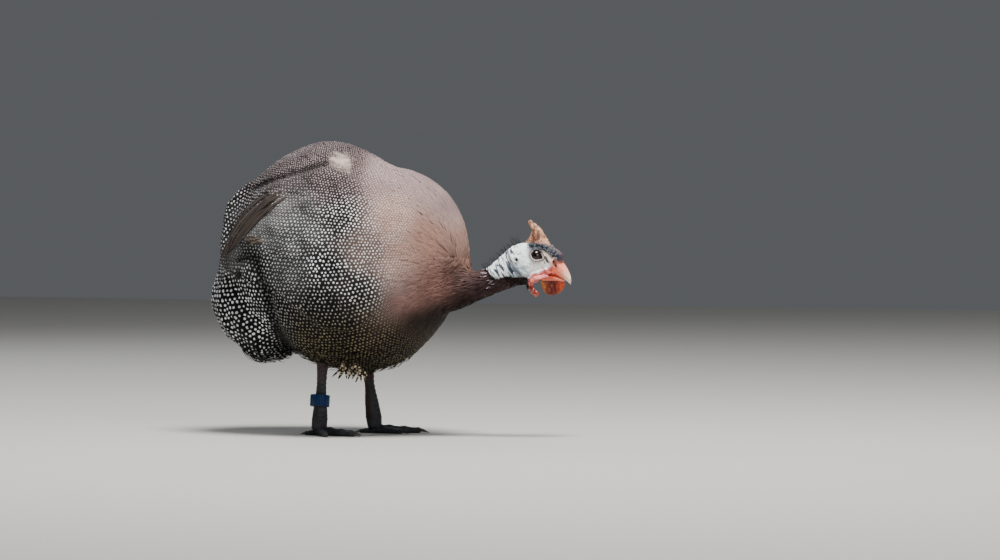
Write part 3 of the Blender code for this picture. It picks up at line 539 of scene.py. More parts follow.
# Contour feather: matt keratin with fine barbs, dark ground with round pale dots in staggered
# rows. It reads all its markings from the vane itself.
contour, shader = new_material("contour feathers of matt keratin")
(across, along, radius), room, own_parts = (
    add(contour, "SeparateXYZ", [add(contour, "Attribute", attribute_name=name)["Vector"]])
    for name in ("dots", "room", "vane")
)
own, mark, ground = (add(contour, "Attribute", attribute_name=name) for name in ("vane", "mark", "ground"))
# Row and column of the nearest dot; every second row is shifted by half a place, and each dot
# strays a little from its place and its size
row = add(contour, "FLOOR", [add(contour, "ADD", [along, 0.5])])
shift = add(contour, "FRACT", [add(contour, "MULTIPLY", [row, 0.5])])
moved = add(contour, "ADD", [across, shift])
column = add(contour, "FLOOR", [add(contour, "ADD", [moved, 0.5])])
cell = add(contour, "CombineXYZ", [column, row])
stray = add(contour, "TexWhiteNoise", [cell[0]], noise_dimensions="2D")
strays = [
    add(contour, "MULTIPLY_ADD", [part, DOT_STRAY, -DOT_STRAY / 2])
    for part in add(contour, "SeparateColor", [stray["Color"]])
]
dot_off = add(contour, "ADD", [add(contour, "SUBTRACT", [moved, column]), strays[0]])
row_off = add(contour, "ADD", [add(contour, "SUBTRACT", [along, row]), strays[1]])
radius = add(contour, "MULTIPLY_ADD", [radius, strays[2], radius])
# Squared distance from the dot, by the measure that keeps it round on the bending surface
squared = 0.0
for one, two, measure, times in (
    (dot_off, dot_off, room[0], 1.0), (dot_off, row_off, room[1], 2.0), (row_off, row_off, room[2], 1.0),
):
    part = add(contour, "MULTIPLY", [add(contour, "MULTIPLY", [one, two]), measure])
    squared = add(contour, "MULTIPLY_ADD", [part, times, squared])
# Soft-edged dots, and wavy lines between them where the coat is marked as lined
inside = add(contour, "SUBTRACT", [radius, add(contour, "SQRT", [squared])])
spot = add(contour, "MapRange", [inside, -0.25, 0.2, 0.0, 1.0], interpolation_type="SMOOTHSTEP")
wave = add(contour, "FRACT", [add(contour, "MULTIPLY", [across, 2.0])])
line_off = add(contour, "ABSOLUTE", [add(contour, "SUBTRACT", [wave, 0.5])])
line = add(contour, "MapRange", [line_off, 0.18, 0.36, 0.75, 0.0], interpolation_type="SMOOTHSTEP")
mixed = add(contour, "Mix", {0: mark["Alpha"], 2: spot[0], 3: line[0]}, data_type="FLOAT")
amount = add(contour, "MULTIPLY", [mixed[0], ground["Alpha"]])
# The shaft is a little darker and the fringe at the tip a little paler
side = add(contour, "ABSOLUTE", [own_parts[0]])
shaft = add(contour, "MapRange", [side, 0.0, 0.10, 0.92, 1.0])
fringe = add(contour, "MapRange", [own_parts[1], 0.86, 1.0, 1.0, 1.06])
# Streaks of barbs along the lie: strong where plain feathers are marked as lined, else faint
unmarked = add(contour, "SUBTRACT", [1.0, ground["Alpha"]])
plain_lines = add(contour, "MULTIPLY", [mark["Alpha"], unmarked])
depth = add(contour, "MULTIPLY_ADD", [plain_lines, 0.55, STREAK_DEPTH])
shade = add(contour, "MULTIPLY", [shaft[0], fringe[0]])
for stretch, share in (((3.2, 0.5, 37.0), 1.0), ((11.0, 1.4, 71.0), 0.8)):
    lengthwise = add(contour, "VectorMath", [own["Vector"], stretch], operation="MULTIPLY")
    streaks = add(contour, "TexNoise", {"Vector": lengthwise[0], "Scale": 1.0, "Detail": 2.0})
    wave = add(contour, "MapRange", [streaks[0], 0.3, 0.7, -share, share])
    tone = add(contour, "MULTIPLY_ADD", [wave[0], depth, 1.0])
    shade = add(contour, "MULTIPLY", [shade, tone])
shaded = add(contour, "VectorMath", {0: ground["Color"], 3: shade}, operation="SCALE")
paint = add(contour, "Mix", {0: amount, 6: shaded[0], 7: mark["Color"]}, data_type="RGBA")
barb_way = add(contour, "MULTIPLY_ADD", [own_parts[1], 60.0, add(contour, "MULTIPLY", [side, -14.0])])
barbs = add(contour, "SINE", [add(contour, "MULTIPLY", [barb_way, 2 * math.pi])])
bump = add(contour, "Bump", {"Height": barbs, "Strength": 0.25, "Distance": 0.0001})
feed(shader, {"Base Color": paint[2], "Normal": bump[0], "Roughness": 0.7, "Specular IOR Level": 0.12})


def scatter_roots(form, spacing_at, tries):
    """Even scatter of roots over a form, no two nearer than the spacing there."""
    size = np.cumsum(form.area)
    face = np.searchsorted(size, draw.random(tries) * size[-1])
    r1, r2 = np.sqrt(draw.random(tries)), draw.random(tries)
    weights = np.stack([1 - r1, r1 * (1 - r2), r1 * r2], 1)
    spots = (form.points[form.faces[face]] * weights[:, :, None]).sum(1)
    spacing = spacing_at(spots)
    steps = [(x, y, z) for x in (-1, 0, 1) for y in (-1, 0, 1) for z in (-1, 0, 1)]
    grid, kept = {}, []
    for i, (spot, apart) in enumerate(zip(spots, spacing)):
        x, y, z = (spot // spacing.max()).astype(int)
        near = [j for dx, dy, dz in steps for j in grid.get((x + dx, y + dy, z + dz), ())]
        if near and (((spots[near] - spot) ** 2).sum(1) < apart**2).any():
            continue
        grid.setdefault((x, y, z), []).append(i)
        kept.append(i)
    return spots[kept]


def lay_vanes(form, shape, roots, lengths, half_widths, start_height, end_height, turn):
    """Points and carried values, by vane, station and place across, of vanes that follow the lie."""
    at, carried = form.nearest(roots)
    heading = carried[:, 3:6]
    tangle = np.cross(carried[:, :3], heading) * np.tan(turn)[:, None]
    heading = flat_on(heading + tangle, carried[:, :3])
    places, values = [], []
    last = 0.0
    for station, width in zip(*shape[:2]):
        at, carried = form.nearest(at + heading * (lengths * (station - last))[:, None])
        heading = flat_on(0.6 * heading + 0.4 * carried[:, 3:6], carried[:, :3])
        last = station
        across = np.cross(carried[:, :3], heading)
        height = end_height - (end_height - start_height) * (1 - station) ** 2
        for share in shape[2]:
            spot, there = form.nearest(at + across * (half_widths * width * share)[:, None])
            lift = height - VANE_CROWN * share**2 * width * np.minimum(half_widths / 5 / MM, 1)
            places.append(spot + there[:, :3] * lift[:, None] * MM)
            values.append(there)
    grid = (len(roots), len(shape[0]), len(shape[2]), -1)
    places, values = (np.stack(held, 1).reshape(grid) for held in (places, values))
    values[..., 6:8] += draw.uniform(-0.1, 0.1, (len(roots), 1, 1, 2))
    return places, values


def store(mesh, name, kind, values):
    """Point attribute of a mesh."""
    attribute = mesh.attributes.new(name, kind, "POINT")
    field = "vector" if kind == "FLOAT_VECTOR" else "color"
    attribute.data.foreach_set(field, np.ascontiguousarray(values, np.float32).ravel())


def lay_patches(mesh, faces, roots, own, count):
    """UV map OFBake: each vane is a small patch at its root's place on the unrolled skin."""
    rows = math.ceil(math.sqrt(count))
    order = np.argsort(roots[:, 1], kind="stable")
    cell = np.zeros((count, 2))
    for k in range(rows):
        part = order[k * rows : (k + 1) * rows]
        part = part[np.argsort(roots[part, 0], kind="stable")]
        cell[part, 0] = np.arange(len(part))
        cell[part, 1] = k
    patch = np.stack([own[:, 0] / 2, own[:, 1] - 0.5], 1) * 0.8 + 0.5
    uv = ((cell[:, None] + patch[None]) / rows).reshape(-1, 2)
    layer = mesh.uv_layers.new(name="OFBake")
    layer.data.foreach_set("uv", uv[faces.ravel()].astype(np.float32).ravel())


def build_vanes(name, shape, places, values, thickness=0.28, tone_spread=0.07):
    """One mesh of closed thin vanes, with its rows of dots and colours as attributes."""
    count, stations, across = places.shape[:3]
    normal = np.cross(np.gradient(places, axis=1), np.gradient(places, axis=2))
    normal /= np.maximum(np.linalg.norm(normal, axis=3, keepdims=True), 1e-12)
    normal *= np.sign((normal * values[..., :3]).sum(3, keepdims=True))
    under = places - normal * thickness * MM
    points = np.stack([places, under], 1).reshape(-1, 3)
    each = stations * across
    quads = []
    for a in (i * across + j for i in range(stations - 1) for j in range(across - 1)):
        quads.append((a, a + 1, a + across + 1, a + across))
        quads.append((each + a, each + a + across, each + a + across + 1, each + a + 1))
    rim = list(range(across)) + [i * across + across - 1 for i in range(1, stations)]
    rim += [(stations - 1) * across + j for j in range(across - 2, -1, -1)]
    rim += [i * across for i in range(stations - 2, 0, -1)]
    quads += [(a, each + a, each + b, b) for a, b in zip(rim, rim[1:] + rim[:1])]
    quads = np.array(quads)
    # The first quad's own normal says which way round all of them go
    first = points[quads[0]]
    if np.dot(np.cross(first[1] - first[0], first[2] - first[0]), normal[0, 0, 0]) < 0:
        quads = quads[:, ::-1]
    faces = (quads[None] + (np.arange(count) * 2 * each)[:, None, None]).reshape(-1, 4)
    mesh = bpy.data.meshes.new(name)
    mesh.vertices.add(len(points))
    mesh.vertices.foreach_set("co", points.ravel())
    mesh.loops.add(faces.size)
    mesh.loops.foreach_set("vertex_index", faces.ravel())
    mesh.polygons.add(len(faces))
    mesh.polygons.foreach_set("loop_start", np.arange(0, faces.size, 4))
    mesh.update(calc_edges=True)
    mesh.shade_smooth()
    mesh.set_sharp_from_angle(angle=math.radians(60))
    both = np.concatenate([values.reshape(count, each, -1)] * 2, 1).reshape(len(points), -1)
    tone = np.repeat(draw.uniform(1 - tone_spread, 1 + tone_spread, count), 2 * each)[:, None]
    t, s = np.meshgrid(shape[0], shape[2], indexing="ij")
    own = np.tile(np.stack([s.ravel(), t.ravel()], 1), (2 * count, 1))
    chance = np.repeat(draw.random(count), 2 * each)
    store(mesh, "dots", "FLOAT_VECTOR", both[:, 6:9])
    store(mesh, "ground", "FLOAT_COLOR", np.column_stack([both[:, 10:13] * tone, both[:, 13]]))
    store(mesh, "mark", "FLOAT_COLOR", np.column_stack([both[:, 14:17], both[:, 9]]))
    store(mesh, "room", "FLOAT_VECTOR", both[:, 17:20])
    store(mesh, "vane", "FLOAT_VECTOR", np.column_stack([own, chance]))
    lay_patches(mesh, faces, values[:, 0, across // 2, 6:8], own[: 2 * each], count)
    mesh.materials.append(contour)
    return placed(name, mesh)


def by_breast(ends, view):
    """Value between that of the body and that of the breast at places in the camera's view."""
    return ends[0] + (ends[1] - ends[0]) * smooth(view[:, 0], *BREAST_EDGE)


# The worn patch is on the right side alone; the ends of the feathers lift a little behind
for side, word in ((1, "right"), (-1, "left")):
    form.carried = worn_coat if side > 0 else whole_coat
    tries = 60000
    roots = scatter_roots(form, lambda spots: by_breast(ROOT_SPACING, seen(spots)) * MM, tries)
    view = seen(roots)
    roots, view = roots[view[:, 0] < HEAD_EDGE], view[view[:, 0] < HEAD_EDGE]
    roots[:, 1] *= side
    count = len(roots)
    length = by_breast(VANE_LENGTH, view) * MM * draw.uniform(0.9, 1.1, count)
    half = by_breast(VANE_HALF, view) * MM * draw.uniform(0.93, 1.07, count)
    turn = draw.normal(0, math.radians(5), count)
    end = draw.uniform(-0.45, 0.0, count) * by_breast((1, 0.6), view) + 0.5 * smooth(view[:, 0], 300, 260)
    right, down = view.T
    upper = (down < 190) | ((right > 365) & (down < 300))
    region = np.select(
        [right < 250, by_breast((0, 1), view) > 0.5, upper, down > 300],
        ["tail", "breast", "mantle", "belly"],
        "wing",
    )
    for label in ("tail", "breast", "mantle", "belly", "wing"):
        chosen = region == label
        shape = SLIM if label == "breast" else CONTOUR
        places, values = lay_vanes(
            form, shape, roots[chosen], length[chosen], half[chosen], ROOT_HEIGHT, end[chosen], turn[chosen]
        )
        spread = 0.035 if label in ("mantle", "breast") else 0.07
        piece = build_vanes(f"plumage_{label}_{word}", shape, places, values, tone_spread=spread)
        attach(piece, "root")
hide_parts("wing_right")
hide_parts("wing_left")
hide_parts("tail")


# Quills of the folded wing: long plain grey-brown flight feathers of stiff keratin, rooted in the
# wing, that close over each other and end in a point above the tail, and a few shorter ones below
# them with worn pale ends
QUILL = (
    (0.0, 0.08, 0.2, 0.35, 0.5, 0.65, 0.8, 0.91, 1.0),
    (0.3, 0.7, 0.95, 1.0, 1.0, 0.95, 0.8, 0.55, 0.12),
    (-1.0, -0.5, 0.0, 0.5, 1.0),
)
QUILL_COUNT, WORN_COUNT, QUILL_PITCH = 11, 7, 2.6
# Middle line of the bundle, right and down in the camera's view, and its half width
BUNDLE = np.array((
    (306, 184, 5), (292, 189, 7), (279, 196, 8), (266, 206, 8), (254, 218, 7.5),
    (244, 231, 6.5), (236, 244, 5), (229, 258, 3), (226, 266, 1.5),
))


def on_side(rights, downs, tree=form.tree):
    """Places on the right side of a form, else the coat's, that are seen at spots in the camera's view."""
    found = []
    for right, down in zip(rights, downs):
        start = LEVEL * (right - VIEW_CORNER[0]) * MM + TOWARD * 0.5
        start[2] = (VIEW_CORNER[1] - down) * MM
        found.append(tree.ray_cast(Vector(start), Vector(-TOWARD))[0])
    return np.array(found)


def strand(points, count):
    """Evenly counted spots along a line of points."""
    points = np.array(points, float)
    t = np.linspace(0, len(points) - 1, count)
    return np.stack([np.interp(t, np.arange(len(points)), values) for values in points.T], 1)


def one_look(radius, lines, ground, strength, mark, measure=(1.0, 0.0, 1.0)):
    """Carried values of vanes that all look alike."""
    return np.concatenate([np.zeros(8), [radius, lines], linear(ground), [strength], linear(mark), measure])


def drawn_vanes(shape, paths, side, half_widths, start_height, end_height, risen, values, pitch):
    """Points and carried values of vanes along paths that are drawn over the coat in the camera's view."""
    places, held = [], []
    steps, widths, spread = (np.array(part) for part in shape)
    for path, half, low, top, out in zip(paths, half_widths, start_height, end_height, risen):
        line = on_side(*strand(path, 40).T)
        run = np.linalg.norm(np.diff(line, axis=0), axis=1).cumsum()
        run = np.concatenate([[0], run]) / run[-1]
        line = np.stack([np.interp(steps, run, line[:, i]) for i in range(3)], 1)
        at, carried = form.nearest(line * [1, side, 1])
        heading = flat_on(np.gradient(at, axis=0), carried[:, :3])
        across = np.cross(carried[:, :3], heading)
        height = low + (top - low) * smooth(steps, 0.0, out)
        reach = half * widths[:, None] * spread
        lift = height[:, None] - VANE_CROWN * spread**2
        raised = carried[:, None, :3] * lift[..., None] * MM
        places.append(at[:, None] + across[:, None] * reach[..., None] + raised)
        held.append(np.tile(values, (len(steps), len(spread), 1)))
        held[-1][..., :3], held[-1][..., 3:6] = carried[:, None, :3], heading[:, None]
        held[-1][..., 6] = reach / pitch + draw.integers(0, 50)
        held[-1][..., 7] = (steps * 40)[:, None]
    return np.array(places), np.array(held)


beside = np.gradient(BUNDLE[:, :2], axis=0)[:, ::-1] * [1, -1]
beside /= np.linalg.norm(beside, axis=1, keepdims=True)
for side, word in ((1, "right"), (-1, "left")):
    paths = []
    for u in np.linspace(-1, 1, QUILL_COUNT):
        path = BUNDLE[:, :2] + beside * BUNDLE[:, 2:] * u + draw.uniform(-0.4, 0.4, 2)
        paths.append(strand(path, 60)[: round(60 * (0.98 - 0.11 * (u + 1)))])
    half = draw.uniform(1.6, 2.1, QUILL_COUNT) * MM
    begin = draw.uniform(-6.0, -3.0, QUILL_COUNT)
    long = drawn_vanes(
        QUILL, paths, side, half, begin, 1.2 + 2.4 * np.linspace(1, 0, QUILL_COUNT),
        draw.uniform(0.3, 0.75, QUILL_COUNT), one_look(0.0, 1.0, "#241F1D", 0.24, "#A5968C"),
        QUILL_PITCH * MM,
    )
    starts = np.stack([draw.uniform(262, 270, WORN_COUNT), draw.uniform(238, 243, WORN_COUNT)], 1)
    ends = starts + np.stack([draw.uniform(-20, -10, WORN_COUNT), draw.uniform(-1, 5, WORN_COUNT)], 1)
    paths = [(a, (a + b) / 2 + [0, -1.2], b) for a, b in zip(starts, ends)]
    short = drawn_vanes(
        QUILL, paths, side, draw.uniform(0.7, 1.2, WORN_COUNT) * MM, np.full(WORN_COUNT, -1.0),
        draw.uniform(1.2, 2.6, WORN_COUNT), np.full(WORN_COUNT, 0.4),
        one_look(0.0, 1.0, "#5A5048", 0.0, "#A5968C"), QUILL_PITCH * MM,
    )
    quills = build_vanes("quills_" + word, QUILL, *map(np.concatenate, zip(long, short)), 0.25, 0.3)
    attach(quills, "root")


# Wisps and tuft of the belly: loose hair-thin barbs of keratin at the lower edge of the coat, and a
# tuft of short spotted feathers, rooted in the belly's skin, that hangs out between the legs
HAIR = ((0.0, 0.3, 0.6, 0.85, 1.0), (0.7, 1.0, 0.85, 0.5, 0.12), (-1.0, 0.0, 1.0))
WISP_COUNT, TUFT_COUNT = 420, 30


def free_vanes(shape, roots, ways, ups, lengths, half_widths, droop, values, pitch):
    """Points and carried values of drooping vanes that stand clear of the coat, each its own way."""
    stations, widths, across = (np.array(part) for part in shape)
    sides = np.cross(ups, ways)
    sides /= np.linalg.norm(sides, axis=1, keepdims=True)
    run = roots[:, None] + ways[:, None] * (lengths[:, None] * stations)[:, :, None]
    run = run - ups[:, None] * (droop * stations**2)[:, :, None]
    reach = half_widths[:, None, None] * widths[:, None] * across
    places = run[:, :, None] + sides[:, None, None] * reach[..., None]
    held = np.tile(values, (len(roots), len(stations), len(across), 1))
    held[..., :3], held[..., 3:6] = ups[:, None, None], ways[:, None, None]
    held[..., 6] = reach / pitch + draw.integers(0, 50, len(roots))[:, None, None]
    held[..., 7] = (lengths[:, None] * stations)[:, :, None] / pitch / STAGGER
    return places, held


def unit(vectors):
    """Vectors made one long."""
    return vectors / np.linalg.norm(vectors, axis=1, keepdims=True)


low_points = np.flatnonzero((form_view[:, 1] > 346) & (form_view[:, 0] < 420))
count = WISP_COUNT
at = form.points[draw.choice(low_points, count)]
at[:, 1] *= draw.choice([-1.0, 1.0], count)
places, values = lay_vanes(
    form, HAIR, at, draw.uniform(9, 17, count) * MM, draw.uniform(0.4, 1.1, count) * MM,
    np.full(count, -1.0), draw.uniform(1.0, 4.0, count), draw.normal(0, 0.35, count),
)
wisps = build_vanes("belly_wisps", HAIR, places, values, 0.2, 0.2)
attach(wisps, "root")

count = TUFT_COUNT
roots = on_side(draw.uniform(346, 366, count), draw.uniform(358, 364, count))
roots -= TOWARD * draw.uniform(0.004, 0.02, (count, 1))
ways = np.stack([-0.25 + draw.normal(0, 0.25, count), draw.normal(0, 0.2, count), np.full(count, -0.9)], 1)
ways = unit(ways)
ups = flat_on(TOWARD + draw.normal(0, 0.15, (count, 3)), ways)
places, values = free_vanes(
    CONTOUR, roots, ways, ups, draw.uniform(10, 22, count) * MM, draw.uniform(1.0, 2.1, count) * MM,
    np.full((count, 1), 1.5 * MM), one_look(1.2, 0.0, "#1A1411", 1.0, "#B9AC90", (16.0, 0.0, 12.0)),
    4.0 * MM,
)
tuft = build_vanes("belly_tuft", CONTOUR, places, values, 0.25, 0.15)
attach(tuft, "root")


# Head, neck and wattles: bare wrinkled skin over the skull, blue-white on the cheeks, pebbled below
# the casque, red at the corner of the mouth and on the wattles, all one hide with the body's.
HEAD_POINT = (144.6, 12.0)
HEAD_YAW = math.radians(7)
HEAD_AHEAD = np.array([math.cos(HEAD_YAW), math.sin(HEAD_YAW), 0])
HEAD_LEFT = np.array([-math.sin(HEAD_YAW), math.cos(HEAD_YAW), 0])
HEAD_VOXEL = 0.55
EYE_CENTRE = (10.6, 7.4, 180.0)
EYE_RADIUS = 6.4
EYE_TURN, EYE_TILT, EYE_CORNER = math.radians(14), math.radians(14), math.radians(26)
# Middle line of neck and head: steps ahead in the scene, and how far to the left each lies
HEAD_MIDDLE = ((58, 82, 105, 126, 144.6, 180), (0, 1.5, 5.5, 9.6, 12, 16.3))
NECK_START = 0.046
# Lids: reach and height of three almond rings, thickness, and pull of the eye's corner
LIDS = ((4.95, 4.45, 0.68, 2.3), (5.85, 4.0, 0.72, 2.5), (6.95, 3.75, 0.8, 2.3))
# Folds, as ahead and up: behind the cheek, round the top of the neck, below and before the eye
SKIN_FOLDS = (
    (((-7.6, 171), (-4.5, 165), (-0.9, 161), (4, 159.6)), 26, 1.25, 0.55),
    (((-16, 184), (-12.7, 176), (-13.7, 166.5), (-8.8, 159)), 40, 1.4, 0.7),
    (((0, 171), (6, 169.5), (13, 170.5), (19, 174)), 30, 0.9, 0.45),
    (((-3, 186), (-3.5, 180), (-2, 174)), 20, 0.8, 0.4),
    (((21, 188), (25, 181), (26, 174)), 22, 1.1, 0.5),
)
# Slit of the nostril in the camera's view, and the radii of the beads that cut it
NOSTRIL = ((554.6, 555.3, 556.0, 556.7, 557.3), (259.8, 261.2, 262.6, 264.0, 265.2))
NOSTRIL_RADII = np.array((1.0, 1.4, 1.6, 1.3, 0.9))
# Corner of the mouth, lumps below it and rows of pebbles, as ahead, left and up
GAPE = ((8, 10.5, 163.6), (14, 9.6, 163.4), (20, 8.0, 163.6), (27, 7.4, 164.0))
LUMPS = ((21, 8.4, 166.5), (14, 10.0, 164.5), (8, 11.6, 161.5), (5, 12.4, 157.5))
PEBBLES = (
    ((2, 8.8, 194.5), (11, 8.8, 195.2), (19, 7.6, 193.5), (25, 6.2, 188), (32, 5.4, 181.5)),
    ((2, 10.5, 191), (12, 10.3, 191), (20, 9.0, 187.5), (27, 8.0, 181)),
)
# Edge of the bare skin in the camera's view: the hide of the neck goes in under its plumes there
BARE_LINE = ((478, 489, 498, 512, 529, 532), (255, 270, 278.5, 275.4, 277, 300))
# Knobbed skin that runs from behind the casque over the eye to the cere, in the same view
KNOB_LINE = ((533, 243), (541, 244.5), (548, 249), (555, 253), (561, 258))


def head_spot(f, l, z):
    """World place of points given by the head's own forward, left and up distances."""
    f, l, z = np.broadcast_arrays(np.asarray(f, float), l, z)
    x = HEAD_POINT[0] + f * HEAD_AHEAD[0] + l * HEAD_LEFT[0]
    y = HEAD_POINT[1] + f * HEAD_AHEAD[1] + l * HEAD_LEFT[1]
    return np.stack([x, y, z], -1) * MM


def beads(spots, radii):
    """Mesh of round beads along some spots, which a later remesh melts into one form."""
    work = bmesh.new()
    for spot, radius in zip(spots, np.broadcast_to(radii, len(spots))):
        at = Matrix.Translation(Vector(spot))
        bmesh.ops.create_icosphere(work, subdivisions=2, radius=radius * MM, matrix=at)
    mesh = bpy.data.meshes.new("beads")
    work.to_mesh(mesh)
    work.free()
    return mesh


def on_surface(tree, spots, sink):
    """Nearest places on a surface, sunk below it."""
    hits = [tree.find_nearest(spot) for spot in spots.tolist()]
    return np.array([hit[0] - hit[1] * sink * MM for hit in hits])


def tree_of(piece):
    """Search tree of a piece's mesh."""
    mesh = piece.data
    return BVHTree.FromPolygons([v.co for v in mesh.vertices], [p.vertices for p in mesh.polygons])


def eye_frame(side):
    """Middle of an eye, its outward axis and the forward and upward ways in the lids' plane."""
    middle = head_spot(EYE_CENTRE[0], side * EYE_CENTRE[1], EYE_CENTRE[2])
    yaw = HEAD_YAW - side * EYE_TURN
    turn = Matrix.Rotation(yaw, 3, "Z") @ Matrix.Rotation(side * EYE_TILT, 3, "X")
    return middle, *(np.array(turn @ Vector(way)) for way in ((0, side, 0), (1, 0, 0), (0, 0, 1)))


def corner_share(angle):
    """Share from 0 to 1 of angles about the eye that belong to its front corner."""
    return np.exp(-((((angle + EYE_CORNER + math.pi) % (2 * math.pi) - math.pi) / 0.42) ** 2))


def head_mirrored(spots):
    """Spots mirrored to the other side of the head."""
    return spots - 2 * np.outer((spots - head_spot(0, 0, 0)) @ HEAD_LEFT, HEAD_LEFT)


def cut_out(piece, meshes, voxel):
    """Cuts a form melted from beads out of a piece."""
    cutter = gather("cutter", meshes)
    remesh(cutter, voxel)
    apply_step(piece, "BOOLEAN", operation="DIFFERENCE", object=cutter, solver="EXACT")
    bpy.data.objects.remove(cutter)


head_form = copy_nodes("head_form", "head", "neck")
remesh(head_form, 1.0, 16)
tree = tree_of(head_form)
beak_form = copy_nodes("beak_form", "head", "bill_upper")
beak_tree = tree_of(beak_form)
bpy.data.objects.remove(beak_form)

parts, cutters, slits = [], [], {}
for side in (1, -1):
    middle, axis, ahead, up = eye_frame(side)
    t = np.linspace(0, 2 * math.pi, 56, endpoint=False)
    rear = np.exp(-((t - math.radians(168)) / 0.35) ** 2)
    for reach, height, radius, pull in LIDS:
        out = reach + pull * corner_share(t) + 0.35 * pull * rear
        lift = height - 0.5 * corner_share(t) * pull
        flat = np.outer(out * np.cos(t), ahead) + np.outer(out * np.sin(t), up)
        spots = middle + (flat + np.outer(lift, axis)) * MM
        parts.append(beads(spots, radius * (1 + 0.18 * np.sin(t))))
    reach = strand([middle + axis * 2 * MM, middle + axis * 14 * MM], 14)
    corner_way = (ahead * math.cos(EYE_CORNER) - up * math.sin(EYE_CORNER)) * MM
    for out, radius in ((0.0, 4.75), (2.6, 2.9), (4.5, 1.5)):
        cutters.append(beads(reach + corner_way * out, radius))
    cutters.append(beads([middle], EYE_RADIUS + 0.35))
    # Ear: a soft ring round its opening
    ring = np.linspace(0, 2 * math.pi, 22)
    spots = head_spot(-8.3 + 2.5 * np.cos(ring), side * 13.4, 176.2 + 2.8 * np.sin(ring))
    parts.append(beads(on_surface(tree, spots, 0.2), 0.9))
    cutters.append(beads(on_surface(tree, head_spot([-8.3], side * 14.2, 176.2), 0.4), 1.7))
    for line, count, radius, sink in SKIN_FOLDS:
        line = strand(line, count)
        spots = head_spot(line[:, 0], side * 17, line[:, 1])
        parts.append(beads(on_surface(tree, spots, sink), radius))
    # Nostril: a slanting slit in the cere with a swollen rim, where the photo shows it
    ring = np.linspace(0, 2 * math.pi, 20)
    rim = on_side(555.9 + 3.1 * np.cos(ring), 262.4 + 4.6 * np.sin(ring), beak_tree)
    slits[side], rim = (
        spots if side < 0 else head_mirrored(spots) for spots in (on_side(*NOSTRIL, beak_tree), rim)
    )
    cutters.append(beads(slits[side], NOSTRIL_RADII))
    parts.append(beads(rim, 1.15))
    # Corner of the mouth, with red lumps on the right side
    gape = strand(GAPE, 22)
    parts.append(beads(head_spot(gape[:, 0], side * gape[:, 1], gape[:, 2]), np.linspace(1.5, 1.1, 22)))
    lumps = strand(LUMPS, 12)
    spots = head_spot(lumps[:, 0], side * lumps[:, 1], lumps[:, 2]) + draw.normal(0, 0.4 * MM, (12, 3))
    if side < 0:
        parts.append(beads(spots, draw.uniform(1.5, 2.3, 12)))
    # Pebbles: knobs in rows below the casque and on the cere
    for k, line in enumerate(PEBBLES):
        line = strand(line, 9)
        stray = draw.uniform(-0.5, 0.5, (9, 3))
        spots = head_spot(line[:, 0] + stray[:, 0], side * line[:, 1], line[:, 2] + stray[:, 2])
        parts.append(beads(on_surface(tree, spots, 0.2), draw.uniform(1.5, 2.1, 9) - 0.3 * k))
    # Collar of knobbed skin that rises round the foot of the casque
    t = np.radians(np.linspace(8, 112, 20))
    ahead = 9.2 + 15.4 * np.cos(t)
    height = 190.2 - 0.10 * (ahead - 9) + draw.uniform(-0.3, 0.3, 20)
    spots = head_spot(ahead, side * 7.4 * np.sin(t), height)
    parts.append(beads(spots, draw.uniform(1.5, 2.2, 20)))
cut_out(head_form, cutters, 0.4)
for name, thicker in (("wattle_left", 0.25), ("wattle_right", 0.8)):
    wattle = copy_nodes(name + "_form", name)
    apply_step(wattle, "SUBSURF", levels=1)
    apply_step(wattle, "DISPLACE", strength=thicker * MM, mid_level=0)
    parts.append(wattle.data)
    bpy.data.objects.remove(wattle)
whole_head = gather("whole_head", [head_form.data] + parts)
bpy.data.objects.remove(head_form)
remesh(whole_head, HEAD_VOXEL, 3)


def ruffle(piece, size, depth, seed=0.0):
    """Moves a piece's points along their normals by a fine random relief."""
    co, normal = points_of(piece)
    move_points(piece, co + normal * waves(co / (size * MM) + [seed, 0, 0])[:, None] * depth * MM)


def furrow_of(points):
    """Depth from 0 to 1 of the furrows that run round the bare upper neck."""
    along = (points @ np.array([0.80, 0.10, 0.55])) / MM
    spots = np.stack([along / 1.6, points[:, 1] / MM / 8, points[:, 2] / MM / 7], 1)
    return smooth(waves(spots), 0.04, 0.26)


def knobs_of(points):
    """Noise that makes the knobs of the skin round the casque."""
    return waves(points / (1.9 * MM) + [0, 30, 0])


def seen_folded(points):
    """Places of neck and head in the camera's view, the left side folded over to the right."""
    middle = np.interp(points[:, 0] / MM, *HEAD_MIDDLE) * MM
    return seen(np.stack([points[:, 0], middle - np.abs(points[:, 1] - middle), points[:, 2]], 1))


def below_bare(view):
    """Millimetres that places in the camera's view lie below the edge of the bare skin."""
    return view[:, 1] - np.interp(view[:, 0], *BARE_LINE)


ruffle(whole_head, 1.6, 0.26)
ruffle(whole_head, 4.5, 0.45, 7.0)
co, normal = points_of(whole_head)
right = seen(co)[:, 0]
bare_neck = smooth(right, 523, 515) * smooth(right, 480, 486)
co -= normal * (bare_neck * furrow_of(co) * 0.9 * MM)[:, None]
crown = fold_share(seen_folded(co), KNOB_LINE, 3.4)
co += normal * (crown * smooth(knobs_of(co), -0.3, 0.3) * 1.1 * MM)[:, None]
move_points(whole_head, co)

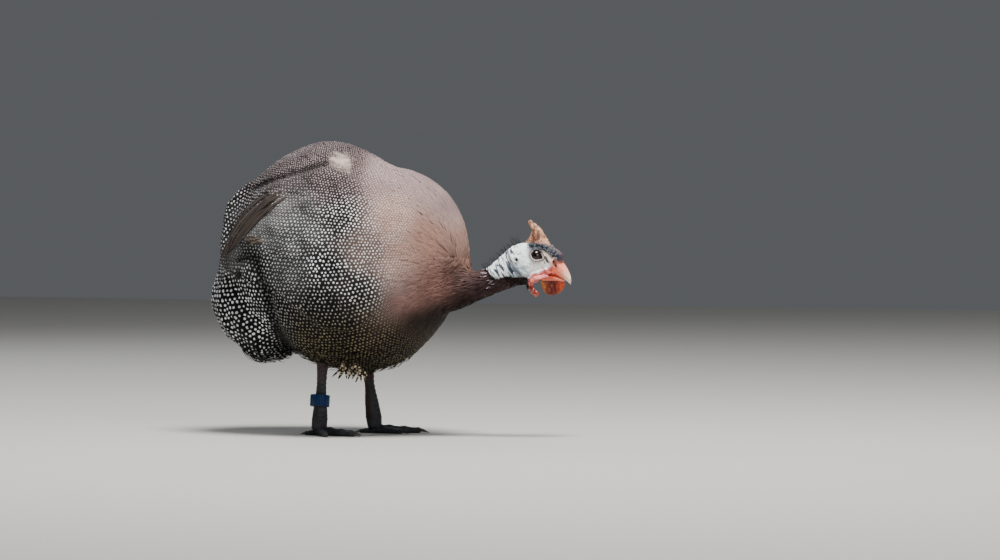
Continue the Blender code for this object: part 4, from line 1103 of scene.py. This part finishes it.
# The front of the same blended form carries the neck's plumes; the neck turns, so it isn't mirrored
neck_piece = gather("neck_piece", [coat_form.data])
work = bmesh.new()
work.from_mesh(neck_piece.data)
cut_away(work, (NECK_START, 0, 0), (-1, 0, 0))
work.to_mesh(neck_piece.data)
work.free()
neck_form = Form(neck_piece, False)
bpy.data.objects.remove(neck_piece)
co = points_of(whole_head)[0]
under = smooth(below_bare(seen_folded(co)), -0.5, 2.0) * (co[:, 0] < 0.128)
for i in np.flatnonzero(under > 0):
    at, way = neck_form.tree.find_nearest(co[i].tolist())[:2]
    over = (Vector(co[i]) - at).dot(way) + 1.0 * MM
    if over > 0:
        co[i] -= np.array(way) * over * under[i]
move_points(whole_head, co)

skin = gather("skin", [coat_form.data])
bpy.data.objects.remove(coat_form)
apply_step(skin, "DISPLACE", strength=-COAT_DEPTH * MM, mid_level=0)
apply_step(skin, "BOOLEAN", operation="UNION", object=whole_head, solver="EXACT")
bpy.data.objects.remove(whole_head)
skin.data.shade_smooth()

# Colours of the bare skin by place, in millimetres right and down in the camera's view of its
# right side; the left side is its mirror image about the middle of the head and neck
SKIN_ROWS = {
    "hide": ("#231D1D", ((430, 300), (380, 250), (440, 240))),
    "nape": ("#1F191A", ((455, 265), (480, 272))),
    "neck": ("#3D2D2C", ((465, 290), (488, 288))),
    "throat": ("#0C0706", ((500, 286), (512, 282), (522, 280), (530, 282), (545, 280), (558, 278))),
    "white": ("#F5FCFF", ((495, 264), (505, 256), (515, 248), (524, 244), (506, 268), (526, 259),
        (530, 270), (540, 269), (549, 264))),
    "shade": ("#B5C6D2", ((518, 270),)),
    "crown": ("#323844", ((535, 244), (541, 245), (548, 249), (555, 253), (560, 257))),
    "cream": ("#F3E6CF", ((546, 253), (550, 259))),
    "cere": ("#E88A76", ((556, 261), (562, 264))),
    "gape": ("#DC5648", ((553, 268), (545, 272), (536, 276))),
}
SKIN_REACH = 1.6
# Painted shade: dark lines in the furrows and blue shadows of the cheek and before the eye, drawn as lines in
# the same view
SKIN_LINES = (
    (((509.5, 250), (511, 256), (513, 263), (517, 269), (522, 273.5)), 1.2, 0.85, "#22303D"),
    (((514, 262), (518, 267), (521, 271)), 0.9, 0.6, "#4F687C"),
    (((524, 266), (528, 270), (530, 275)), 1.4, 0.55, "#6FA3C2"),
    (((519.5, 254), (522.3, 252.4)), 0.5, 0.8, "#22303A"),
    (((546.8, 256), (548, 258.5), (549.4, 260.6)), 1.5, 1.0, "#0B0D10"),
    (((541.8, 248.0), (544.6, 252.5), (546.2, 256.5)), 0.45, 0.6, "#5A4650"),
)
# Small dark places of painted shade: ear, fold above it, furrow before the eye, and pores, with size and
# depth
SKIN_SPOTS = (
    (518.5, 258.8, 2.0, 1.0), (519.5, 253.4, 0.7, 0.6), (521, 253.0, 0.6, 0.6), (547.6, 257.4, 0.9, 0.9),
    (548.3, 259.8, 1.0, 0.9), (546.0, 261.6, 1.0, 0.9), (531.8, 263.6, 0.6, 0.6), (547.0, 274.4, 1.3, 0.9),
    (550.5, 275.2, 1.1, 0.9), (520.0, 266.5, 0.8, 0.35), (516.5, 269.5, 0.9, 0.35), (534.0, 275.5, 0.5, 0.5),
)
# Wattles: steps ahead on the left one and up on the right one, the colours there, and pale streaks
# The streaks are orange flecks on the left wattle and painted highlights on the right one
WATTLES = (
    ("wattle_left", (13, 16, 20, 24, 28, 34),
     ("#B87038", "#823A20", "#5C1716", "#6C1D16", "#B84A22", "#B82A1C"), "#B85A38"),
    ("wattle_right", (139, 144, 150, 156, 161, 166),
     ("#E8603A", "#B03A28", "#6E2620", "#A84A42", "#E0706A", "#DC5648"), "#F2D8D2"),
)
co = points_of(skin)[0]
view = seen_folded(co)
right, down = view.T
rows = [(*spot, *linear(colour)) for colour, spots in SKIN_ROWS.values() for spot in spots]
tint = from_rows(rows, view, SKIN_REACH)
edge = waves(co / (2.4 * MM) + [50, 0, 0]) * 2.6
tint = blend(tint, SKIN_ROWS["throat"][0], smooth(below_bare(view) + edge, -0.6, 0.6) * (right < 531))
# Painted shade: blue-grey in the furrows of the white neck
bare_neck = smooth(right, 523, 515) * smooth(right, 484, 490)
tint *= (1 - 0.93 * bare_neck * furrow_of(co))[:, None] ** np.array([1.0, 0.94, 0.85])
# Knobs round the casque: dark, lighter on their raised tops and darker between them, as painted highlight and
# shade
knob_light_and_shade = linear(SKIN_ROWS["crown"][0]) * (0.55 + 0.8 * smooth(knobs_of(co), -0.2, 0.35))[:, None]
tint = blend(tint, knob_light_and_shade, fold_share(view, KNOB_LINE, 3.4) * (right > 528))
for line, width, deep, colour in SKIN_LINES:
    tint = blend(tint, colour, fold_share(view, line, width) * deep * (right > 486))
for spot_right, spot_down, size, deep in SKIN_SPOTS:
    away = np.hypot(right - spot_right, down - spot_down) / size
    tint = blend(tint, "#14181E", np.exp(-(away**3)) * deep)
# Painted shade inside the slits of the nostrils
for spot in (*slits[1], *slits[-1]):
    tint = blend(tint, "#0A0303", np.exp(-((np.linalg.norm(co - spot, axis=1) / (1.45 * MM)) ** 4)))
for side in (1, -1):
    middle, axis, ahead, up = eye_frame(side)
    from_eye = co - middle
    angle = np.arctan2(from_eye @ up, from_eye @ ahead)
    out = np.linalg.norm(from_eye - np.outer(from_eye @ axis, axis), axis=1) / MM - 2.5 * corner_share(angle)
    near = from_eye @ axis > 1.5 * MM
    lid = smooth(out, 6.05, 5.65)
    # Lid pale and darker on top, a dark ring of painted shade in the groove round it, a faint darker ring
    # outside, and a dark inner edge
    for share, colour in (
        (lid, "#C4B2B2"),
        (lid * smooth(np.sin(angle + 0.3), 0.45, 0.8), "#30343D"),
        (np.exp(-(((out - 6.4) / 0.6) ** 2)), "#1A1719"),
        (np.exp(-(((out - 7.9) / 0.35) ** 2)) * 0.45, "#4B5058"),
        (smooth(out, 5.0, 4.6), "#120D0E"),
    ):
        tint = blend(tint, colour, share * near)
chosen = np.flatnonzero((co[:, 0] > 0.12) & (co[:, 2] < 0.166))
low_co = co[chosen]
blotch, streak = waves(low_co / (3.2 * MM)), waves(low_co / MM / [1.2, 1.2, 4.0] + 9)
measures = ((low_co - head_spot(0, 0, 0)) @ HEAD_AHEAD / MM, low_co[:, 2] / MM)
for (name, steps, colours, flecks_and_glints), measure in zip(WATTLES, measures):
    tree = tree_of(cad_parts[name])
    away = np.array([tree.find_nearest(p)[3] for p in low_co.tolist()]) / MM
    table = np.array([linear(colour) for colour in colours])
    colour = np.stack([np.interp(measure, steps, values) for values in table.T], 1)
    colour *= (0.75 + 0.5 * smooth(blotch, -0.25, 0.35))[:, None]
    colour = blend(colour, flecks_and_glints, smooth(streak, 0.22, 0.42) * 0.55)
    tint[chosen] = blend(tint[chosen], colour, smooth(away, 1.9, 0.9))


def dress(piece, tint, material):
    """Gives a piece its tints as an attribute, and its material."""
    if tint is not None:
        store(piece.data, "tint", "FLOAT_COLOR", np.column_stack([tint, np.ones(len(tint))]))
    piece.data.materials.clear()
    piece.data.materials.append(material)


# Bare skin: supple, slightly greasy, finely wrinkled, with darker pores
skin_paint, shader = new_material("bare wrinkled skin")
own_tint = add(skin_paint, "Attribute", attribute_name="tint")["Color"]
place = add(skin_paint, "TexCoord")["Object"]
grain = add(skin_paint, "TexNoise", {"Vector": place, "Scale": 420.0, "Detail": 4.0})["Fac"]
pores = add(skin_paint, "TexVoronoi", {"Vector": place, "Scale": 1100.0})["Distance"]
mottle = add(skin_paint, "MapRange", [grain, 0.3, 0.7, 0.86, 1.12])
toned = add(skin_paint, "VectorMath", {0: own_tint, 3: mottle[0]}, operation="SCALE")
relief = add(skin_paint, "ADD", [grain, pores])
bump = add(skin_paint, "Bump", {"Height": relief, "Strength": 0.5, "Distance": 0.0003})
feed(shader, {"Base Color": toned[0], "Normal": bump[0], "Roughness": 0.5, "Specular IOR Level": 0.3})
dress(skin, tint, skin_paint)
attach(skin, "root")
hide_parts("torso", "neck", "head", "wattle_left", "wattle_right")


# Eyes: glass-bright balls in their sockets behind the lids, a black pupil in a dark brown iris
# under a clear wet cornea, dull brown at the edge. One ball is the mirror image of the other.
# Wet eye: a sharp bright glint over near black, as of glass
eye_paint, shader = new_material("wet dark eye")
own_tint = add(eye_paint, "Attribute", attribute_name="tint")["Color"]
feed(shader, {"Base Color": own_tint, "Roughness": 0.12, "Specular IOR Level": 0.25, "Coat Weight": 0.5})
for side, word in ((1, "left"), (-1, "right")):
    middle, axis = eye_frame(side)[:2]
    bpy.ops.mesh.primitive_uv_sphere_add(
        segments=64, ring_count=48, radius=EYE_RADIUS * MM, location=(0, 0, 0)
    )
    eye = bpy.context.object
    eye.name = "eyeball_" + word
    turn = Vector((0, 0, 1)).rotation_difference(Vector(axis)).to_matrix().to_4x4()
    eye.data.transform(Matrix.Translation(Vector(middle)) @ turn)
    eye.data.shade_smooth()
    facing = (points_of(eye)[0] - middle) @ axis / (EYE_RADIUS * MM)
    angle = np.degrees(np.arccos(np.clip(facing, -1, 1)))
    colour = blend(linear("#050405"), "#20120B", smooth(angle, 21, 24))
    dress(eye, blend(colour, "#2A2422", smooth(angle, 52, 58)), eye_paint)
    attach(eye, "root")
    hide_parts("eye_" + word)


# Casque: a helmet of bone in worn orange-brown horn, rough and pitted, seated on the crown. It is
# slimmer behind than its solid, up to its blunt tip, as the photo shows it.
casque = copy_nodes("casque_horn", "casque")
remesh(casque, 0.55, 5)
co = points_of(casque)[0]
right, down = seen_folded(co).T
behind = smooth(534 + 0.25 * (down - 220) - right, 0, 6) * smooth(down, 245, 236)
move_points(casque, co + behind[:, None] * HEAD_AHEAD * 2.2 * MM)
ruffle(casque, 5.0, 0.9, 3.0)
ruffle(casque, 1.4, 0.3, 5.0)
casque.data.shade_smooth()
# Worn horn: light and dark orange-brown patches, deep pits darkened by painted shade, and a dull sheen
horn, shader = new_material("worn pitted horn")
place = add(horn, "Mapping", {"Vector": add(horn, "TexCoord")["Object"], "Scale": (1.0, 1.0, 0.45)})[0]
broad = add(horn, "TexNoise", {"Vector": place, "Scale": 190.0, "Detail": 5.0, "Roughness": 0.65})["Fac"]
fine = add(horn, "TexNoise", {"Vector": place, "Scale": 900.0, "Detail": 3.0})["Fac"]
pits = add(horn, "TexVoronoi", {"Vector": place, "Scale": 520.0, "Randomness": 1.0})["Distance"]
ramp = add(horn, "ValToRGB", [broad])["Color"]
stops = ramp.node.color_ramp.elements
for stop, position, colour in zip(stops, (0.38, 0.62), ("#6A3C2C", "#DFA986")):
    stop.position, stop.color = position, (*linear(colour), 1)
stops.new(0.8).color = (*linear("#FADCC6"), 1)
tone = add(horn, "MapRange", [fine, 0.3, 0.7, 0.78, 1.15])[0]
pit = add(horn, "MapRange", [pits, 0.14, 0.36, 0.18, 1.0], interpolation_type="SMOOTHSTEP")[0]
toned = add(horn, "VectorMath", {0: ramp, 3: add(horn, "MULTIPLY", [tone, pit])}, operation="SCALE")
bump = add(horn, "Bump", {"Height": add(horn, "ADD", [pit, fine]), "Strength": 0.6, "Distance": 0.0006})
feed(shader, {"Base Color": toned[0], "Normal": bump[0], "Roughness": 0.55})
dress(casque, None, horn)
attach(casque, "root")
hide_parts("casque")


# Bill: two halves of smooth horn over bone, orange-red at the base and pale at the hooked tip,
# grown out of the skin of the face. The upper half carries the nostrils.
# Smooth horn: orange-red that fades to cream, with a fine grain and a soft sheen
bill_paint, shader = new_material("smooth bill horn")
place = add(bill_paint, "TexCoord")["Object"]
ahead = add(bill_paint, "VectorMath", [place, (*HEAD_AHEAD[:2], -0.35)], operation="DOT_PRODUCT")["Value"]
ramp = add(bill_paint, "MapRange", [ahead, 0.1170, 0.1400, 0.0, 1.0], interpolation_type="SMOOTHSTEP")[0]
base, tip = ((*linear(colour), 1) for colour in ("#FA8262", "#FFEDD2"))
mixed = add(bill_paint, "Mix", {0: ramp, 6: base, 7: tip}, data_type="RGBA")[2]
grain = add(bill_paint, "TexNoise", {"Vector": place, "Scale": 500.0, "Detail": 4.0})["Fac"]
tone = add(bill_paint, "MapRange", [grain, 0.3, 0.7, 0.94, 1.12])[0]
own_tint = add(bill_paint, "Attribute", attribute_name="tint")["Color"]
shaded = add(bill_paint, "VectorMath", [mixed, own_tint], operation="MULTIPLY")[0]
toned = add(bill_paint, "VectorMath", {0: shaded, 3: tone}, operation="SCALE")[0]
bump = add(bill_paint, "Bump", {"Height": grain, "Strength": 0.35, "Distance": 0.0003})[0]
feed(shader, {"Base Color": toned, "Normal": bump, "Roughness": 0.38})
# The lower half is redder than the upper one and darker, its darkness painted shade beneath the upper half
for name, half_shade in (("bill_upper", np.ones(3)), ("bill_lower", np.array([0.78, 0.60, 0.56]))):
    bill = copy_nodes(name + "_horn", name)
    remesh(bill, 0.42, 5)
    if name == "bill_upper":
        cut_out(bill, [beads(slits[side], NOSTRIL_RADII + 0.1) for side in (1, -1)], 0.3)
    bill.data.shade_smooth()
    co = points_of(bill)[0]
    # Painted shade: the horn turns near black in and round the slits of the nostrils
    away = np.min([np.linalg.norm(co - spot, axis=1) for spot in (*slits[1], *slits[-1])], 0) / MM
    dress(bill, half_shade * (0.06 + 0.94 * smooth(away, 1.3, 1.9)[:, None]), bill_paint)
    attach(bill, "root")
    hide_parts(name)


# Neck feathers: short dark hair-like plumes of keratin that lie down the neck and over the edge of
# the body's feathers, a few of them with pale flecks, most just below the white skin
PLUME_SPACING, PLUME_PITCH = 1.35, 1.2
neck_lie = flat_on(np.broadcast_to([-1.0, -0.12, -0.30], neck_form.normals.shape), neck_form.normals)
neck_tints = from_rows(coat_rows, seen_folded(neck_form.points), COAT_REACH)[:, 6:9]
flat = np.ones((len(neck_lie), 1))
neck_form.carried = np.column_stack([
    neck_form.normals, neck_lie, neck_form.points[:, ::2] / MM / PLUME_PITCH, 0 * flat, 0.9 * flat,
    neck_tints, 0 * flat, flat * linear("#B9A8A0"), flat, 0 * flat, flat,
])
tries = 22000
roots = scatter_roots(neck_form, lambda spots: np.full(len(spots), PLUME_SPACING * MM), tries)
count = len(roots)
length = draw.uniform(7.5, 11.0, count) * MM
half = draw.uniform(0.55, 0.95, count) * MM
turn = draw.normal(0, math.radians(12), count)
end = draw.uniform(0.5, 1.5, count)
# Bare white skin above a line from the nape to the chin carries none
view = seen_folded(roots)
kept = (below_bare(view) >= 0.5) & (view[:, 0] >= 452)
view = view[kept]
places, values = lay_vanes(neck_form, HAIR, roots[kept], length[kept], half[kept], 0.0, end[kept], turn[kept])
likely = 0.30 * np.exp(-(((view[:, 0] - 491) / 6.5) ** 2)) * smooth(below_bare(view), 22, 3)
fleck = draw.random(len(places)) < likely
places[fleck] = places[fleck, :1] + (places[fleck] - places[fleck, :1]) * 0.42
places[fleck] += values[fleck][..., :3] * 0.8 * MM
values[fleck, ..., 10:13] = linear("#84747E")
plumes = build_vanes("neck_plumes", HAIR, places, values, 0.2, 0.30)
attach(plumes, "root")


# Bristles: stiff black hairs of keratin along the nape and a few longer ones behind the casque,
# and short dark ones that lie back over the skin of the throat. Each grows from a pore.
NAPE_COUNT, THROAT_COUNT = 80, 700
count = NAPE_COUNT
x = draw.uniform(99, 130, count)
z = np.interp(x, (99, 111, 126, 132), (164, 172, 185, 190))
far = np.arange(count) % 7 == 0
x[far], z[far] = draw.uniform(128, 137, far.sum()), draw.uniform(190, 199, far.sum())
y = np.interp(x, *HEAD_MIDDLE) + draw.normal(0, 2.6, count)
roots = on_surface(tree_of(skin), np.stack([x, y, z + 4], 1) * MM, 0.0)
ways = unit(np.stack([
    -0.55 + draw.normal(0, 0.25, count), draw.normal(0, 0.22, count), 0.75 + draw.normal(0, 0.15, count)
], 1))
sides = unit(np.cross(ways, [0.0, 1.0, 0.0]))
length = np.where(far, draw.uniform(8, 12, count), draw.uniform(3.5, 7.5, count)) * MM
nape = free_vanes(
    HAIR, roots - ways * 0.5 * MM, ways, sides, length, np.full(count, 0.10 * MM),
    draw.uniform(0.5, 1.6, (count, 1)) * -MM, one_look(0.0, 0.0, "#100D0D", 0.0, "#100D0D"), 1.0 * MM,
)
co, normal = points_of(skin)
view = seen_folded(co)
throat = (view[:, 0] > 503) & (view[:, 0] < 530) & (below_bare(view) > 0.5) & (co[:, 2] > 0.14)
count = THROAT_COUNT
chosen = draw.choice(np.flatnonzero(throat), count)
ups = normal[chosen]
ways = flat_on([-1.0, -0.12, -0.22] + draw.normal(0, 0.18, (count, 3)), ups)
lying = flat_on(ways + ups * 0.12, flat_on(np.cross(ways, ups), ups))
hairs = free_vanes(
    HAIR, co[chosen] + ups * 0.1 * MM, lying, ups, draw.uniform(3.0, 5.5, count) * MM,
    draw.uniform(0.3, 0.55, count) * MM, np.full((count, 1), 0.4 * MM),
    one_look(0.0, 0.0, "#1A0F0C", 0.0, "#100D0D"), 1.0 * MM,
)
bristles = build_vanes("nape_bristles", HAIR, *map(np.concatenate, zip(nape, hairs)), 0.12, 0.1)
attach(bristles, "root")


# Legs and feet: dry horny skin, broad plates down the front of the shank and over the toes and
# small scales behind. Near black, browner at the hock.
ANKLES = {"left": (-39.7, 30.0), "right": (-70.5, -30.0)}
FOOT_YAW = {"left": math.radians(25), "right": math.radians(-15)}
# Toes: way, length and thickness of the inner, middle, outer and hind one
TOES = ((-36.0, 33, 8.4), (0.0, 45, 9.4), (38.0, 36, 8.4), (166.0, 15, 6.4))
PLATE, PLATE_HEIGHT = 4.6, 0.75
TOE_PLATE, TOE_PLATE_HEIGHT = 2.7, 0.5


def plate_form(t, rise, fall):
    """Height from 0 to 1 over a plate that climbs from its upper edge to a lip."""
    return np.minimum(t / rise, 1) * (0.55 + 0.45 * t) * np.minimum((1 - t) / fall, 1)


# Dry scales: dull and dusty, with a fine net of seams
leg_paint, shader = new_material("dry leg scales")
own_tint = add(leg_paint, "Attribute", attribute_name="tint")["Color"]
place = add(leg_paint, "TexCoord")["Object"]
cells = add(leg_paint, "TexVoronoi", {"Vector": place, "Scale": 620.0}, feature="DISTANCE_TO_EDGE")
edge = add(leg_paint, "MapRange", [cells["Distance"], 0.0, 0.12, 0.0, 1.0])[0]
dust = add(leg_paint, "TexNoise", {"Vector": place, "Scale": 160.0, "Detail": 5.0})["Fac"]
tone = add(leg_paint, "MapRange", [dust, 0.3, 0.75, 0.7, 1.5])[0]
toned = add(leg_paint, "VectorMath", {0: own_tint, 3: tone}, operation="SCALE")[0]
bump = add(leg_paint, "Bump", {"Height": edge, "Strength": 0.5, "Distance": 0.0003})[0]
feed(shader, {"Base Color": toned, "Normal": bump, "Roughness": 0.55, "Specular IOR Level": 0.3})

for word, side in (("left", 1), ("right", -1)):
    yaws = [FOOT_YAW[word]] + [FOOT_YAW[word] + side * math.radians(toe[0]) for toe in TOES]
    along, *toe_ways = (np.array([math.cos(yaw), math.sin(yaw)]) for yaw in yaws)
    ankle = np.array(ANKLES[word]) + 5.5 * along
    ends, sizes = [], []
    for way, (_, long, high) in zip(toe_ways, TOES):
        for back in (0.4, 1.6, 3.0):
            ends.append(np.array([*(ankle + (long - back) * way), high * 0.27]) * MM)
            sizes.append(high * 0.27)
    leg = gather("leg_scales_" + word, [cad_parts["leg_" + word].data, beads(ends, sizes)])
    remesh(leg, 0.62, 8)
    co, normal = points_of(leg)
    co /= MM
    facing = normal[:, :2] @ along / np.maximum(np.linalg.norm(normal[:, :2], axis=1), 0.2)
    shank = smooth(co[:, 2], 12, 17)
    fore = smooth(facing, 0.25, 0.5) + 0.5 * smooth(-facing, 0.4, 0.7)
    t = (-co[:, 2] / PLATE) % 1
    groove = -0.5 * np.exp(-((facing - 0.2) / 0.10) ** 2)
    high = shank * (plate_form(t, 0.16, 0.07) * fore + groove) * PLATE_HEIGHT
    flat = co[:, :2] - ankle
    far = np.linalg.norm(flat, axis=1)
    # Distance to the nearest toe's middle line
    off = np.min([np.abs(flat @ [-way[1], way[0]]) + 99 * (flat @ way < 0) for way in toe_ways], 0)
    on_top = smooth(normal[:, 2], 0.15, 0.5) * smooth(off, 4.6, 3.0)
    toe = plate_form((far / TOE_PLATE) % 1, 0.2, 0.1)
    high += (1 - shank) * toe * on_top * TOE_PLATE_HEIGHT * smooth(far, 4, 8)
    co += normal * high[:, None]
    co[:, 2] = np.maximum(co[:, 2], 0.02)
    move_points(leg, co * MM)
    leg.data.shade_smooth()
    seam = (1 - 0.7 * np.exp(-(((t + 0.5) % 1 - 0.5) / 0.10) ** 2) * shank * fore)[:, None]
    scale = blend(linear("#2B2C31"), "#2E1811", smooth(-facing, -0.3, 0.6) * shank * 0.8)
    hock = smooth(co[:, 2], 48, 62) * (0.8 if side > 0 else 0.3)
    dress(leg, blend(scale, "#4A281D", hock) * seam, leg_paint)
    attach(leg, "root")
    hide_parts("leg_" + word)


# Claws: four curved nails of hard dark horn on each foot, polished by wear, each grown over the
# end of its toe
# Rubbed horn: plain brown-black with a soft gleam
claw_paint, shader = new_material("dark claw horn")
feed(shader, {"Base Color": (*linear("#2B2421"), 1), "Roughness": 0.4})
claw_names = [
    f"claw_{word}_{toe}" for word in ("left", "right") for toe in ("inner", "middle", "outer", "hind")
]
claws = copy_nodes("claws", *claw_names)
apply_step(claws, "SUBSURF", levels=2)
claws.data.shade_smooth()
dress(claws, None, claw_paint)
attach(claws, "root")
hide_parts(*claw_names)


# Leg band: a loose ribbed ring of dark blue plastic, moulded in one piece and snapped round the
# shank, on which it hangs a little askew. Its edges are smooth and rounded.
BAND_INNER, BAND_OUTER, BAND_HALF_HEIGHT, BAND_EDGE = 7.9, 9.8, 5.75, 0.45
RIB_COUNT, RIB_PROFILE = 34, (0.0, -0.15, -0.95, -0.15)
BAND_LEAN = math.radians(-8)
lower = [
    (BAND_INNER, BAND_EDGE - BAND_HALF_HEIGHT), (BAND_INNER + 0.4, -BAND_HALF_HEIGHT),
    (BAND_OUTER - 0.35, -BAND_HALF_HEIGHT), (BAND_OUTER, BAND_EDGE - BAND_HALF_HEIGHT),
]
profile = lower + [(radius, -height) for radius, height in reversed(lower)]
work = bmesh.new()
steps = RIB_COUNT * 4
rings = []
for k in range(steps):
    angle = 2 * math.pi * k / steps
    ring = []
    for radius, height in profile:
        ribbed = radius > BAND_INNER + 0.5 and abs(height) < BAND_HALF_HEIGHT
        r = (radius + (RIB_PROFILE[k % 4] if ribbed else 0.0)) * MM
        ring.append(work.verts.new((r * math.cos(angle), r * math.sin(angle), height * MM)))
    rings.append(ring)
for here, then in zip(rings, rings[1:] + rings[:1]):
    for i in range(len(profile)):
        work.faces.new((here[i - 1], then[i - 1], then[i], here[i]))
bmesh.ops.recalc_face_normals(work, faces=work.faces)
mesh = bpy.data.meshes.new("band")
work.to_mesh(mesh)
work.free()
low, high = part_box("leg_band")
mesh.transform(Matrix.Translation((Vector(low) + Vector(high)) / 2) @ Matrix.Rotation(BAND_LEAN, 4, "X"))
mesh.shade_smooth()
mesh.set_sharp_from_angle(angle=math.radians(40))
band = placed("band", mesh)
# Moulded plastic: an even deep blue with soft lights along its ribs
band_paint, shader = new_material("moulded blue plastic")
feed(shader, {"Base Color": (*linear("#042B56"), 1), "Roughness": 0.4, "Specular IOR Level": 0.3})
dress(band, None, band_paint)
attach(band, "root")
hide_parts("leg_band")
